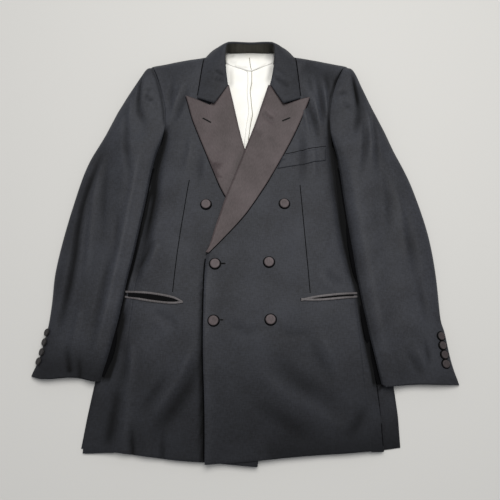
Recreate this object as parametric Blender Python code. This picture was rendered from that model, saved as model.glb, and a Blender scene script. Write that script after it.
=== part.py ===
# A double-breasted dinner jacket laid flat on its back, collar towards +Y, buttons up.
# Metres, +Z up. The wearer's left is at +X. Each cut piece of cloth is one closed sheet.
import math

import bpy
import numpy as np
from mathutils import Vector
from mathutils.bvhtree import BVHTree

# Cloth thicknesses and the gaps between pieces
WOOL = 0.0016
SATIN = 0.0014
LINING = 0.0010
JET = 0.0018
SEAM = 0.0003
LAP = 0.0006
ARM_SEAM = 0.0008
BUTTON_CLEAR = 0.0004

# The jacket lies a little out of square: its left side is further up than its right
ASKEW = 0.0194

# The flattened body: how it falls at its sides and shoulders
BACK_CLEAR = 0.0019
SHELF_RISE = 0.0016
SHELF_REACH = 0.030
FALL_OUT = 0.016
FALL_IN = 0.050
FALL_POWER = 2.4
ARM_DROP = 0.22
SHOULDER_ROLL = 0.024
SHOULDER_POWER = 2.5
ARMPIT = 0.600
VENT_TOP = 0.25
SHOULDER_TIP = 0.7865

# The left front laps over the right one and its lapel
LAP_LIFT = 0.0028
LAPEL_LIFT = 0.0052
LIFT_FADE = 0.050

# Buttons, by diameter
FRONT_BUTTON = 0.0190
SLEEVE_BUTTON = 0.0145
BUTTON_RISE = 0.24
CUFF_BUTTON_HEIGHT = 0.0082
ABOVE = 0.1


def table(names, *rows):
    """A short table with named columns, one row for each section."""
    return dict(zip(names.split(), np.array(rows, float).T))


# Height of the fronts' lower face over the floor, up the garment from the hem
CROWN = table(
    "y height",
    (0.00, 0.0090),
    (0.10, 0.0115),
    (0.28, 0.0135),
    (0.42, 0.0140),
    (0.52, 0.0175),
    (0.62, 0.0215),
    (0.72, 0.0255),
    (0.82, 0.0255),
)

# Where each side of the body's front turns down, as distances from the centre line
BODY_EDGE = table(
    "y left right",
    (0.03, 0.242, 0.230),
    (0.09, 0.238, 0.228),
    (0.13, 0.233, 0.224),
    (0.18, 0.227, 0.221),
    (0.23, 0.217, 0.217),
    (0.28, 0.210, 0.211),
    (0.34, 0.199, 0.207),
    (0.39, 0.184, 0.201),
    (0.44, 0.181, 0.195),
    (0.49, 0.178, 0.188),
    (0.54, 0.172, 0.182),
    (0.60, 0.166, 0.173),
)

# Side edge of the back panels
BACK_SIDE = table(
    "y left right",
    (0.030, 0.273, 0.2745),
    (0.080, 0.272, 0.2695),
    (0.135, 0.267, 0.2625),
    (0.180, 0.260, 0.2565),
    (0.260, 0.249, 0.246),
    (0.340, 0.241, 0.240),
    (0.420, 0.237, 0.237),
    (0.500, 0.241, 0.241),
    (0.570, 0.246, 0.246),
    (0.600, 0.247, 0.247),
)

# Armhole edge of the back, from the armpit to the shoulder tip
BACK_ARMHOLE = table(
    "y x",
    (0.600, 0.247),
    (0.620, 0.229),
    (0.645, 0.213),
    (0.680, 0.203),
    (0.7228, 0.200),
    (0.7569, 0.202),
    (0.7865, 0.207),
)

# Outer edge of each front: side seam up to the armpit, then the front armhole
FRONT_OUTER = table(
    "y left right",
    (0.025, 0.222, 0.216),
    (0.140, 0.214, 0.211),
    (0.290, 0.203, 0.205),
    (0.400, 0.187, 0.193),
    (0.500, 0.176, 0.182),
    (0.585, 0.170, 0.1755),
    (0.607, 0.1685, 0.173),
    (0.645, 0.162, 0.165),
    (0.674, 0.164, 0.1675),
    (0.703, 0.168, 0.1745),
    (0.7422, 0.179, 0.186),
    (0.7740, 0.193, 0.199),
    (0.7865, 0.2045, 0.206),
)

# Inner edge of each front, as distances out from the centre line: front edge, lapel roll, neckline
LEFT_INNER = table(
    "y x",
    (0.008, -0.0600),
    (0.061, -0.0620),
    (0.117, -0.0650),
    (0.196, -0.0710),
    (0.258, -0.0730),
    (0.349, -0.0740),
    (0.372, -0.0725),
    (0.383, -0.0660),
    (0.432, -0.0530),
    (0.481, -0.0390),
    (0.525, -0.0230),
    (0.576, -0.0070),
    (0.606, 0.0050),
    (0.662, 0.0230),
    (0.695, 0.0330),
    (0.730, 0.0430),
    (0.776, 0.0510),
    (0.816, 0.0560),
)
RIGHT_INNER = table(
    "y x",
    (0.0012, -0.0270),
    (0.060, -0.0330),
    (0.120, -0.0400),
    (0.200, -0.0480),
    (0.280, -0.0550),
    (0.350, -0.0600),
    (0.371, -0.0595),
    (0.385, -0.0545),
    (0.436, -0.0420),
    (0.485, -0.0270),
    (0.531, -0.0110),
    (0.577, 0.0070),
    (0.606, 0.0150),
    (0.656, 0.0270),
    (0.710, 0.0410),
    (0.731, 0.0455),
    (0.776, 0.0500),
    (0.816, 0.0560),
)

# Shoulder line: how far up the garment it lies, across from the centre back
SHOULDER_LINE = table(
    "x y",
    (0.000, 0.8240),
    (0.040, 0.8238),
    (0.056, 0.8170),
    (0.091, 0.8095),
    (0.150, 0.7980),
    (0.190, 0.7898),
    (0.207, 0.7865),
    (0.260, 0.7760),
)

# Hem of each front, across from its inner edge, and of the back
LEFT_HEM = table(
    "x y",
    (-0.060, 0.0052),
    (-0.040, 0.0066),
    (-0.012, 0.0082),
    (0.030, 0.0115),
    (0.107, 0.0186),
    (0.172, 0.0225),
    (0.232, 0.0263),
    (0.275, 0.0262),
)
RIGHT_HEM = table(
    "x y",
    (-0.027, 0.0012),
    (0.060, 0.0085),
    (0.103, 0.0110),
    (0.144, 0.0160),
    (0.185, 0.0210),
    (0.223, 0.0250),
    (0.262, 0.0235),
    (0.275, 0.0235),
)
BACK_HEM_IN = 0.006

# Rows of the fronts, from the hem to the shoulder: how far up the inner and the outer edge
FRONT_ROWS = table(
    "step inner outer",
    (0.0, 0.008, 0.026),
    (1.0, 0.024, 0.040),
    (3.0, 0.086, 0.098),
    (11.0, 0.368, 0.360),
    (12.0, 0.386, 0.377),
    (17.0, 0.560, 0.532),
    (19.0, 0.640, 0.598),
    (22.0, 0.736, 0.682),
    (25.0, 0.790, 0.7495),
    (27.0, 0.8115, 0.7795),
    (28.0, 0.8170, 0.7865),
)

# Lapels, from the break up to the gorge: the roll line and the outer edge
LEFT_LAPEL = table(
    "step roll_x roll_y edge_x edge_y",
    (0.0, -0.0735, 0.3755, -0.0690, 0.3745),
    (1.0, -0.0650, 0.3870, -0.0560, 0.3885),
    (2.0, -0.0585, 0.4120, -0.0330, 0.4140),
    (3.5, -0.0480, 0.4500, -0.0010, 0.4520),
    (5.0, -0.0360, 0.4890, 0.0270, 0.4960),
    (7.0, -0.0170, 0.5420, 0.0580, 0.5530),
    (9.0, 0.0030, 0.6010, 0.0870, 0.6100),
    (11.0, 0.0230, 0.6620, 0.1090, 0.6610),
    (12.0, 0.0330, 0.6950, 0.1190, 0.6830),
    (13.0, 0.0420, 0.7260, 0.1230, 0.6965),
)
RIGHT_LAPEL = table(
    "step roll_x roll_y edge_x edge_y",
    (0.0, -0.0600, 0.3755, -0.0555, 0.3745),
    (1.0, -0.0535, 0.3880, -0.0430, 0.3900),
    (2.0, -0.0475, 0.4140, -0.0220, 0.4150),
    (3.5, -0.0375, 0.4520, 0.0120, 0.4520),
    (5.0, -0.0255, 0.4900, 0.0430, 0.4910),
    (7.0, -0.0060, 0.5450, 0.0680, 0.5460),
    (9.0, 0.0145, 0.6040, 0.0920, 0.6030),
    (11.0, 0.0285, 0.6600, 0.1130, 0.6540),
    (12.0, 0.0370, 0.6960, 0.1220, 0.6820),
    (13.0, 0.0445, 0.7270, 0.1280, 0.7015),
)
LAPEL_ACROSS = (0.13, 0.28, 0.45, 0.66, 0.86, 1.0)
LAPEL_STAND = 0.0030
LAPEL_EDGE_GAP = 0.0009
BREAK_GAP = 0.0004
NOTCH_AT = 0.45
NOTCH_FADE = 3.0

# Collar, from the gorge round to the centre back: its fold, its outer edge and the neck seam below
COLLAR = table(
    "step fold_x fold_y fold_z edge_x edge_y edge_z seam_x seam_y seam_z",
    (0.0, 0.0425, 0.7290, 0.0335, 0.1040, 0.7040, 0.0320, 0.0440, 0.7300, 0.0305),
    (1.0, 0.0450, 0.7430, 0.0340, 0.1010, 0.7260, 0.0315, 0.0460, 0.7440, 0.0300),
    (2.0, 0.0480, 0.7620, 0.0350, 0.0985, 0.7500, 0.0305, 0.0465, 0.7620, 0.0290),
    (3.0, 0.0500, 0.7830, 0.0360, 0.0955, 0.7800, 0.0260, 0.0494, 0.7830, 0.0270),
    (4.0, 0.0510, 0.8020, 0.0365, 0.0915, 0.8030, 0.0170, 0.0512, 0.8000, 0.0230),
    (5.0, 0.0500, 0.8160, 0.0370, 0.0800, 0.8240, 0.0100, 0.0520, 0.8130, 0.0160),
    (6.0, 0.0460, 0.8250, 0.0375, 0.0620, 0.8370, 0.0060, 0.0500, 0.8215, 0.0080),
    (7.0, 0.0330, 0.8275, 0.0375, 0.0420, 0.8430, 0.0025, 0.0360, 0.8243, 0.0042),
    (8.0, 0.0160, 0.8260, 0.0375, 0.0200, 0.8445, 0.0012, 0.0170, 0.8250, 0.0036),
    (9.0, 0.0000, 0.8255, 0.0375, 0.0000, 0.8450, 0.0012, 0.0000, 0.8250, 0.0036),
)
COLLAR_ACROSS = (0.10, 0.26, 0.45, 0.66, 0.85, 1.0)
COLLAR_ROWS = 14
SHOULDER_CLEAR = 0.0030

# Sleeves, from the cuff to the head: inner and outer edge on each side, and the height inside
SLEEVE = table(
    "y left_in left_out right_in right_out air",
    (0.136, 0.2445, 0.3840, 0.2510, 0.3765, 0.0120),
    (0.150, 0.2415, 0.3805, 0.2490, 0.3740, 0.0125),
    (0.166, 0.2380, 0.3750, 0.2460, 0.3690, 0.0135),
    (0.184, 0.2345, 0.3715, 0.2415, 0.3655, 0.0140),
    (0.211, 0.2290, 0.3685, 0.2365, 0.3615, 0.0145),
    (0.236, 0.2242, 0.3648, 0.2317, 0.3578, 0.0149),
    (0.245, 0.2225, 0.3598, 0.2300, 0.3568, 0.0150),
    (0.288, 0.2150, 0.3594, 0.2235, 0.3552, 0.0160),
    (0.326, 0.2085, 0.3587, 0.2190, 0.3580, 0.0165),
    (0.384, 0.2020, 0.3542, 0.2085, 0.3525, 0.0170),
    (0.424, 0.1960, 0.3483, 0.2035, 0.3470, 0.0175),
    (0.476, 0.1890, 0.3352, 0.1955, 0.3378, 0.0185),
    (0.546, 0.1815, 0.3140, 0.1885, 0.3233, 0.0200),
    (0.573, 0.1775, 0.3000, 0.1830, 0.3143, 0.0215),
    (0.607, 0.1685, 0.2868, 0.1730, 0.2970, 0.0240),
    (0.645, 0.1621, 0.2724, 0.1654, 0.2806, 0.0265),
    (0.674, 0.1640, 0.2592, 0.1675, 0.2698, 0.0280),
    (0.7035, 0.1680, 0.2448, 0.1745, 0.2552, 0.0285),
    (0.7422, 0.1790, 0.2305, 0.1860, 0.2335, 0.0275),
    (0.7649, 0.1887, 0.2215, 0.1954, 0.2225, 0.0235),
    (0.7774, 0.1962, 0.2150, 0.2012, 0.2155, 0.0155),
    (0.7831, 0.2016, 0.2110, 0.2044, 0.2115, 0.0060),
)
SLEEVE_ROWS = (
    (0.136, 0.145, 0.160, 0.185, 0.215, 0.236, 0.247, 0.290, 0.330)
    + (0.370, 0.410, 0.450, 0.490, 0.530, 0.565, 0.588, 0.598, 0.610)
    + (0.626, 0.650, 0.680, 0.7115, 0.7422, 0.7649, 0.7774, 0.7831)
)
CUFF_HEM = table(
    "across left right",
    (0.00, 0.000, 0.005),
    (0.06, -0.004, 0.005),
    (0.16, -0.003, 0.007),
    (0.24, -0.001, 0.013),
    (0.50, 0.001, 0.013),
    (0.80, 0.000, 0.009),
    (1.00, 0.000, 0.015),
)
CUFF_FADE = 0.050
SLEEVE_ROUND = 2.6
SLEEVE_CLEAR = 0.0015
RAMP = 0.024

# Broad soft folds: where each runs, its half width and how far it stands up or sinks
BODY_FOLDS = table(
    "x0 y0 x1 y1 half height",
    (-0.095, 0.222, -0.180, 0.058, 0.020, 0.0022),
    (-0.210, 0.150, -0.232, 0.036, 0.009, -0.0016),
    (0.030, 0.190, 0.105, 0.050, 0.022, 0.0018),
    (0.110, 0.200, 0.165, 0.060, 0.020, -0.0014),
    (-0.120, 0.440, -0.150, 0.330, 0.020, 0.0014),
    (0.125, 0.450, 0.150, 0.330, 0.020, 0.0014),
    (0.135, 0.715, 0.142, 0.650, 0.009, -0.0014),
)
LEFT_SLEEVE_FOLDS = table(
    "x0 y0 x1 y1 half height",
    (0.218, 0.690, 0.226, 0.590, 0.013, 0.0020),
    (0.196, 0.650, 0.200, 0.560, 0.010, -0.0024),
    (0.245, 0.530, 0.252, 0.450, 0.012, -0.0018),
    (0.270, 0.420, 0.300, 0.250, 0.018, 0.0016),
    (0.310, 0.230, 0.330, 0.165, 0.010, -0.0012),
)
RIGHT_SLEEVE_FOLDS = table(
    "x0 y0 x1 y1 half height",
    (0.217, 0.665, 0.218, 0.580, 0.010, -0.0022),
    (0.270, 0.580, 0.300, 0.460, 0.012, -0.0020),
    (0.300, 0.460, 0.316, 0.240, 0.013, -0.0018),
    (0.255, 0.560, 0.262, 0.500, 0.010, -0.0016),
    (0.270, 0.300, 0.290, 0.190, 0.016, 0.0016),
)

# Breast welt, pocket jets, lining seam and buttons
WELT = table(
    "x lower upper",
    (0.0585, 0.5465, 0.5730),
    (0.1050, 0.5555, 0.5830),
    (0.1530, 0.5650, 0.5915),
)
WELT_SLANT = 0.010
LEFT_JETS = table(
    "x upper lower",
    (0.103, 0.2905, 0.2850),
    (0.125, 0.2945, 0.2850),
    (0.152, 0.2975, 0.2868),
    (0.180, 0.3000, 0.2895),
    (0.206, 0.3015, 0.2925),
)
RIGHT_JETS = table(
    "x upper lower",
    (0.112, 0.2860, 0.2805),
    (0.132, 0.2925, 0.2805),
    (0.158, 0.2975, 0.2830),
    (0.190, 0.3015, 0.2880),
    (0.219, 0.3045, 0.2930),
)
JET_HALF = 0.0019
LINING_SEAM = table(
    "y x",
    (0.560, 0.000),
    (0.616, 0.000),
    (0.634, 0.002),
    (0.658, 0.004),
    (0.681, 0.008),
    (0.701, 0.006),
    (0.732, 0.002),
    (0.753, 0.005),
    (0.777, 0.003),
    (0.8225, 0.000),
)
LINING_HALF = table(
    "y x",
    (0.560, 0.030),
    (0.620, 0.045),
    (0.700, 0.062),
    (0.780, 0.070),
    (0.8225, 0.056),
)
NECK_BAND = table(
    "x y",
    (-0.056, 0.800),
    (-0.033, 0.790),
    (-0.017, 0.784),
    (0.002, 0.777),
    (0.018, 0.785),
    (0.056, 0.802),
)
NECK_BAND_TOP = 0.8227
NECK_BAND_HALF = 0.052
PLEAT_RISE = 0.0016
PLEAT_WIDTH = 0.018
PLEAT_OVER = 0.008
FRONT_BUTTONS = table(
    "x y left_front",
    (-0.078, 0.473, 0),
    (0.072, 0.474, 1),
    (-0.056, 0.354, 1),
    (0.044, 0.357, 1),
    (-0.055, 0.248, 1),
    (0.048, 0.250, 1),
)
CUFF_BUTTONS = table(
    "left_x left_y right_y",
    (0.3540, 0.2210, 0.2280),
    (0.3555, 0.2045, 0.2105),
    (0.3575, 0.1880, 0.1930),
    (0.3590, 0.1718, 0.1765),
)


def smooth(xs, ys, x):
    """A smooth curve through a table's rows that never swings past them."""
    x = np.clip(x, xs[0], xs[-1])
    step = np.diff(xs)
    slope = np.diff(ys) / step
    bend = np.concatenate([[slope[0]], np.zeros(len(xs) - 2), [slope[-1]]])
    same = slope[:-1] * slope[1:] > 0
    bend[1:-1][same] = 2 * slope[:-1][same] * slope[1:][same] / (slope[:-1] + slope[1:])[same]
    k = np.clip(np.searchsorted(xs, x, "right") - 1, 0, len(xs) - 2)
    t = (x - xs[k]) / step[k]
    start = ys[k] * (1 + 2 * t) * (1 - t) ** 2 + bend[k] * step[k] * t * (1 - t) ** 2
    return start + ys[k + 1] * t * t * (3 - 2 * t) + bend[k + 1] * step[k] * t * t * (t - 1)


def read(rows, name, at, by="y"):
    return smooth(rows[by], rows[name], at)


def ease(low, high, value):
    t = np.clip((value - low) / (high - low), 0, 1)
    return t * t * (3 - 2 * t)


def fold_relief(folds, x, y):
    """Height that a table of folds adds at a place, fading towards each fold's ends."""
    total = np.zeros(np.broadcast(x, y).shape)
    for x0, y0, x1, y1, half, height in zip(*(folds[k] for k in ("x0", "y0", "x1", "y1", "half", "height"))):
        length = (x1 - x0) ** 2 + (y1 - y0) ** 2
        along = np.clip(((x - x0) * (x1 - x0) + (y - y0) * (y1 - y0)) / length, 0, 1)
        off = (x - x0 - along * (x1 - x0)) ** 2 + (y - y0 - along * (y1 - y0)) ** 2
        total = total + height * np.exp(-off / half**2) * (0.35 + 0.65 * np.sin(math.pi * along))
    return total


def shell(x, y):
    """Height of the lower face of the fronts and side bodies over the floor."""
    x = np.asarray(x, float)
    y = np.asarray(y, float)
    out = np.abs(x)
    left = x > 0
    edge = np.where(left, read(BODY_EDGE, "left", y), read(BODY_EDGE, "right", y))
    side = np.where(left, read(BACK_SIDE, "left", y), read(BACK_SIDE, "right", y))
    shelf = BACK_CLEAR + SHELF_RISE * np.clip((side - out) / SHELF_REACH, 0, 1)
    crown = read(CROWN, "height", y) + fold_relief(BODY_FOLDS, x, y)
    inward = np.clip((edge - out + FALL_OUT) / (FALL_OUT + FALL_IN), 0, 1)
    fall = 1 - (1 - inward) ** FALL_POWER
    arm = 1 - ARM_DROP * (1 - np.clip((edge - out) / FALL_IN, 0, 1)) ** 2
    fall = fall + (arm - fall) * ease(ARMPIT - 0.025, ARMPIT + 0.045, y)
    below = np.clip((read(SHOULDER_LINE, "y", out, "x") - y) / SHOULDER_ROLL, 0, 1)
    roll = 1 - (1 - below) ** SHOULDER_POWER
    return shelf + (crown - shelf) * fall * roll


def lift(x, y):
    """How far the left front is raised by the right front and the right lapel under it."""
    under_edge = -read(RIGHT_INNER, "x", y)
    height = LAP_LIFT + (LAPEL_LIFT - LAP_LIFT) * ease(0.300, 0.385, y)
    return height * (1 - ease(0.004, LIFT_FADE, x - under_edge))


def on_shell(x, y, out, over=False):
    """Points on the shell moved out along its normal, over the lifted left front if asked."""
    x = np.asarray(x, float) + 0 * np.asarray(y, float)
    y = np.asarray(y, float) + 0 * x

    def height(px, py):
        return shell(px, py) + (lift(px, py) if over else 0)

    reach = 0.002
    slope_x = (height(x + reach, y) - height(x - reach, y)) / (2 * reach)
    slope_y = (height(x, y + reach) - height(x, y - reach)) / (2 * reach)
    size = np.sqrt(1 + slope_x**2 + slope_y**2)
    z = height(x, y)
    return np.stack([x - out * slope_x / size, y - out * slope_y / size, z + out / size], -1)


def grid_normals(grid):
    across = np.gradient(grid, axis=1)
    along = np.gradient(grid, axis=0)
    normal = np.cross(across, along)
    return normal / np.maximum(np.linalg.norm(normal, axis=-1, keepdims=True), 1e-12)


def material(name, colour, roughness):
    made = bpy.data.materials.get(name)
    if made is None:
        made = bpy.data.materials.new(name)
        made.use_nodes = True
        shader = made.node_tree.nodes["Principled BSDF"]
        shader.inputs["Base Color"].default_value = (*colour, 1)
        shader.inputs["Roughness"].default_value = roughness
        shader.inputs["Metallic"].default_value = 0
    return made


def add_object(name, points, faces, finish):
    mesh = bpy.data.meshes.new(name)
    mesh.from_pydata([tuple(map(float, p)) for p in points], [], faces)
    mesh.shade_smooth()
    mesh.set_sharp_from_angle(angle=math.radians(50))
    mesh.materials.append(material(*finish))
    made = bpy.data.objects.new(name, mesh)
    bpy.context.scene.collection.objects.link(made)
    return made


def closed_sheet(name, lower, upper, finish):
    """One closed wall between two grids of points, with a rim all round."""
    rows, columns = lower.shape[:2]
    if np.cross(upper[0, 1] - upper[0, 0], upper[1, 0] - upper[0, 0]) @ (upper - lower)[0, 0] < 0:
        lower = lower[:, ::-1]
        upper = upper[:, ::-1]
    count = rows * columns
    points = np.concatenate([upper.reshape(-1, 3), lower.reshape(-1, 3)])

    def at(i, j, under=0):
        return i * columns + j + under * count

    faces = []
    for i in range(rows - 1):
        for j in range(columns - 1):
            faces.append((at(i, j), at(i, j + 1), at(i + 1, j + 1), at(i + 1, j)))
            faces.append((at(i, j, 1), at(i + 1, j, 1), at(i + 1, j + 1, 1), at(i, j + 1, 1)))
    rim = [at(0, j) for j in range(columns)]
    rim += [at(i, columns - 1) for i in range(1, rows)]
    rim += [at(rows - 1, j) for j in range(columns - 2, -1, -1)]
    rim += [at(i, 0) for i in range(rows - 2, 0, -1)]
    for k, here in enumerate(rim):
        after = rim[(k + 1) % len(rim)]
        faces.append((after, here, here + count, after + count))
    return add_object(name, points, faces, finish)


BLACK_WOOL = ("black wool", (0.020, 0.021, 0.024), 0.85)
BLACK_SATIN = ("black satin", (0.065, 0.052, 0.047), 0.45)
IVORY_LINING = ("ivory lining", (0.86, 0.83, 0.72), 0.55)
POCKETING = ("black pocketing", (0.006, 0.006, 0.007), 0.9)
SIDES = {"left": 1, "right": -1}


def steps(count, power=1.0):
    return 1 - (1 - np.linspace(0, 1, count)) ** power


def make_back(side):
    """Half of the back, flat on the floor, from the hem to the shoulder line."""
    sign = SIDES[side]
    low = BACK_SIDE["y"][0]
    up = np.concatenate([np.linspace(low, ARMPIT, 12), np.linspace(ARMPIT, SHOULDER_TIP, 8)[1:]])[:, None]
    u = np.linspace(0, 1, 6)[None, :]
    hem = LEFT_HEM if side == "left" else RIGHT_HEM
    outer = np.where(up < ARMPIT, read(BACK_SIDE, side, up), read(BACK_ARMHOLE, "x", up))
    x = SEAM / 2 + (outer - SEAM / 2) * u
    top = read(SHOULDER_LINE, "y", x, "x") + WOOL
    bottom = read(hem, "y", x, "x") + BACK_HEM_IN
    hem_fade = 1 - ease(low, low + 0.125, up)
    top_fade = ease(ARMPIT + 0.010, SHOULDER_TIP, up)
    y = up + 0 * u + (bottom - low) * hem_fade + (top - SHOULDER_TIP) * top_fade
    lower = np.stack([sign * x, y, 0 * x], -1)
    return closed_sheet(f"back_{side}", lower, lower + (0, 0, WOOL), BLACK_WOOL)


def front_plan(side, across):
    """Places of a front's grid on the floor plan, rows up the garment."""
    inner = LEFT_INNER if side == "left" else RIGHT_INNER
    hem = LEFT_HEM if side == "left" else RIGHT_HEM
    step = FRONT_ROWS["step"]
    rows = np.linspace(0, step[-1], int(step[-1]) + 1)
    y_in = smooth(step, FRONT_ROWS["inner"], rows)[:, None]
    y_out = smooth(step, FRONT_ROWS["outer"], rows)[:, None]
    y_in = np.maximum(y_in, inner["y"][0])
    x_in = read(inner, "x", y_in)
    x_out = read(FRONT_OUTER, side, y_out) - ARM_SEAM / 2
    x = x_in + (x_out - x_in) * across
    y = y_in + (y_out - y_in) * across
    hem_fade = 1 - ease(0, 3, rows)[:, None]
    straight = y[0] + 0 * y
    y = y + (read(hem, "y", x, "x") - straight) * hem_fade
    top_fade = ease(22, 28, rows)[:, None]
    chord = y[-1] + 0 * y
    y = y + (read(SHOULDER_LINE, "y", x, "x") - chord) * top_fade
    return x, y


def make_front(side):
    across = steps(14, 1.25)[None, :]
    x, y = front_plan(side, across)
    over = side == "left"
    x = SIDES[side] * x
    lower = on_shell(x, y, 0, over)
    upper = on_shell(x, y, WOOL, over)
    upper[:, -1, :2] = lower[:, -1, :2]
    return closed_sheet(f"front_{side}", lower, upper, BLACK_WOOL)


def make_side_body(side):
    sign = SIDES[side]
    hem = LEFT_HEM if side == "left" else RIGHT_HEM
    rows = np.concatenate([np.linspace(0.026, 0.56, 14), [0.584, 0.598]])[:, None]
    across = np.linspace(0, 1, 7)[None, :]
    inner = read(FRONT_OUTER, side, rows) + ARM_SEAM / 2
    whole = read(BACK_SIDE, side, rows) - 0.002
    if side == "left":
        vent = read(BODY_EDGE, "left", rows)
        outer = vent + (whole - vent) * ease(VENT_TOP - 0.04, VENT_TOP + 0.03, rows)
    else:
        outer = whole - 0.003 * (1 - ease(VENT_TOP - 0.04, VENT_TOP + 0.03, rows))
    x = inner + (outer - inner) * across
    y = rows + 0 * x
    y = y + (read(hem, "y", x, "x") - 0.026) * (1 - ease(0.026, 0.10, rows))
    y = y - 0.010 * np.sin(math.pi * across) * ease(0.57, 0.598, rows)
    lower = on_shell(sign * x, y, 0)
    return closed_sheet(f"side_{side}", lower, on_shell(sign * x, y, WOOL), BLACK_WOOL)


def sleeve_base(side, x, y):
    """Surface that a sleeve lies on: the floor, or the side of the body where it overlaps it."""
    sign = SIDES[side]
    reach = read(BACK_SIDE, side, y)
    inside = np.minimum(x, reach)
    body = on_shell(sign * inside, y, WOOL)[..., 2] + SLEEVE_CLEAR
    ramp = ease(0, 1, (reach + RAMP - x) / RAMP)
    return body * ramp * (1 - ease(ARMPIT + 0.012, ARMPIT + 0.032, y))


def cuff_shift(side, across, y):
    """How far the cuff's hem departs from level, fading up the sleeve."""
    low = SLEEVE["y"][0]
    return read(CUFF_HEM, side, across, "across") * (1 - ease(low, low + CUFF_FADE, y))


def make_sleeve_top(side):
    sign = SIDES[side]
    rows = np.array(SLEEVE_ROWS)[:, None]
    inner = read(SLEEVE, f"{side}_in", rows) + ARM_SEAM / 2
    outer = read(SLEEVE, f"{side}_out", rows)
    air = read(SLEEVE, "air", rows)
    turn = np.linspace(0, math.pi, 15)[None, :]
    across = (1 - np.cos(turn)) / 2
    x = inner + (outer - inner) * across
    y = rows + cuff_shift(side, across, rows)
    closed = (1 - np.abs(2 * across - 1) ** SLEEVE_ROUND) ** (1 / SLEEVE_ROUND)
    start = shell(sign * inner, rows) / air
    joined = np.where(across < 0.5, 1 - (1 - start) * (1 - across / 0.5) ** 2, closed)
    head = ease(ARMPIT - 0.020, ARMPIT + 0.030, rows)
    folds = LEFT_SLEEVE_FOLDS if side == "left" else RIGHT_SLEEVE_FOLDS
    relief = fold_relief(folds, x, y) * closed
    base = sleeve_base(side, x, rows)
    z = base * (1 - head) + air * (closed + (joined - closed) * head) + relief
    z = z + WOOL * (closed + (1 - closed) * head * (across < 0.5))
    upper = np.stack([sign * x, y, z], -1)
    normal = grid_normals(upper)
    normal *= np.sign(normal[..., 2:3].sum())
    lower = upper - WOOL * normal
    lower[..., 2] = np.maximum(lower[..., 2], base * (1 - head))
    lower[:, 0, :2] += (upper - lower)[:, 0, :2] * np.minimum(1, 3 * head)
    return closed_sheet(f"sleeve_top_{side}", lower, upper, BLACK_WOOL)


def make_sleeve_under(side):
    sign = SIDES[side]
    rows = np.array(SLEEVE_ROWS[:-1])[:, None]
    wall = WOOL + SEAM + LAP
    inner = read(SLEEVE, f"{side}_in", rows) + wall
    armhole = read(BACK_ARMHOLE, "x", rows) + SEAM + LAP
    inner = np.where(rows > ARMPIT, armhole, inner)
    outer = np.maximum(read(SLEEVE, f"{side}_out", rows) - wall, inner + 0.002)
    across = np.linspace(0, 1, 7)[None, :]
    x = inner + (outer - inner) * across
    y = rows + cuff_shift(side, across, rows)
    lower = np.stack([sign * x, y, sleeve_base(side, x, rows)], -1)
    return closed_sheet(f"sleeve_under_{side}", lower, lower + (0, 0, WOOL), BLACK_WOOL)


def lapel_grid(side, rows):
    """Middle surface of a lapel: up and over the roll line, then out along the front."""
    sign = SIDES[side]
    over = side == "left"
    column = LEFT_LAPEL if over else RIGHT_LAPEL
    step = np.linspace(0, column["step"][-1], rows)
    roll = np.stack([read(column, "roll_x", step, "step"), read(column, "roll_y", step, "step")], -1)
    edge = np.stack([read(column, "edge_x", step, "step"), read(column, "edge_y", step, "step")], -1)
    width = np.linalg.norm(edge - roll, axis=-1)
    outward = (edge - roll) / width[:, None]
    wrap = ease(0, 1.5, step)
    full = ease(0, 2, step) if over else ease(8, 11, step)
    stand = LAPEL_EDGE_GAP + (LAPEL_STAND - LAPEL_EDGE_GAP) * full
    stand = stand + BREAK_GAP * (1 - ease(0, 4, step))
    level = WOOL + stand
    tuck = wrap**3
    section = [
        (-0.0025, level - tuck * (level - BREAK_GAP)),
        (-0.0029, level - tuck * 0.45 * level),
        (0.0, level),
    ]
    grid = []
    for k, place in enumerate(roll):
        line = [(place + a * wrap[k] * outward[k], h[k] + SATIN / 2) for a, h in section]
        line[0] = (line[0][0] - 0.0010 * (1 - wrap[k]) * outward[k], line[0][1])
        line[1] = (line[1][0] - 0.0005 * (1 - wrap[k]) * outward[k], line[1][1])
        for u in LAPEL_ACROSS:
            dip = max(0.0, 1 - abs(u - NOTCH_AT) / (NOTCH_AT if u < NOTCH_AT else 1 - NOTCH_AT))
            fade = max(0.0, 1 - (step[-1] - step[k]) / NOTCH_FADE) ** 1.5
            drop = np.array((-0.004, -0.030 if over else -0.034)) * dip * fade
            rise = stand[k] + (LAPEL_EDGE_GAP - stand[k]) * u**0.7
            line.append((place + u * width[k] * outward[k] + drop, WOOL + rise + SATIN / 2))
        grid.append([on_shell(sign * p[0], p[1], out, over) for p, out in line])
    return np.array(grid).reshape(rows, -1, 3)


def thickened(name, middle, thickness, finish):
    normal = grid_normals(middle)
    normal *= np.sign(normal[..., 2:3].sum())
    return closed_sheet(name, middle - thickness / 2 * normal, middle + thickness / 2 * normal, finish)


def make_lapel(side):
    return thickened(f"lapel_{side}", lapel_grid(side, 19), SATIN, BLACK_SATIN)


def collar_grid():
    """Middle surface of the top collar, round the neck from one gorge to the other."""
    half = np.linspace(0, 9, COLLAR_ROWS)
    step = np.concatenate([half, half[-2::-1]])
    sign = np.concatenate([-np.ones(COLLAR_ROWS), np.ones(COLLAR_ROWS - 1)])

    def column(part):
        return np.stack(
            [sign * read(COLLAR, f"{part}_x", step, "step")]
            + [read(COLLAR, f"{part}_{axis}", step, "step") for axis in "yz"],
            -1,
        )

    return step, sign, column("fold"), column("edge"), column("seam")


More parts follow.
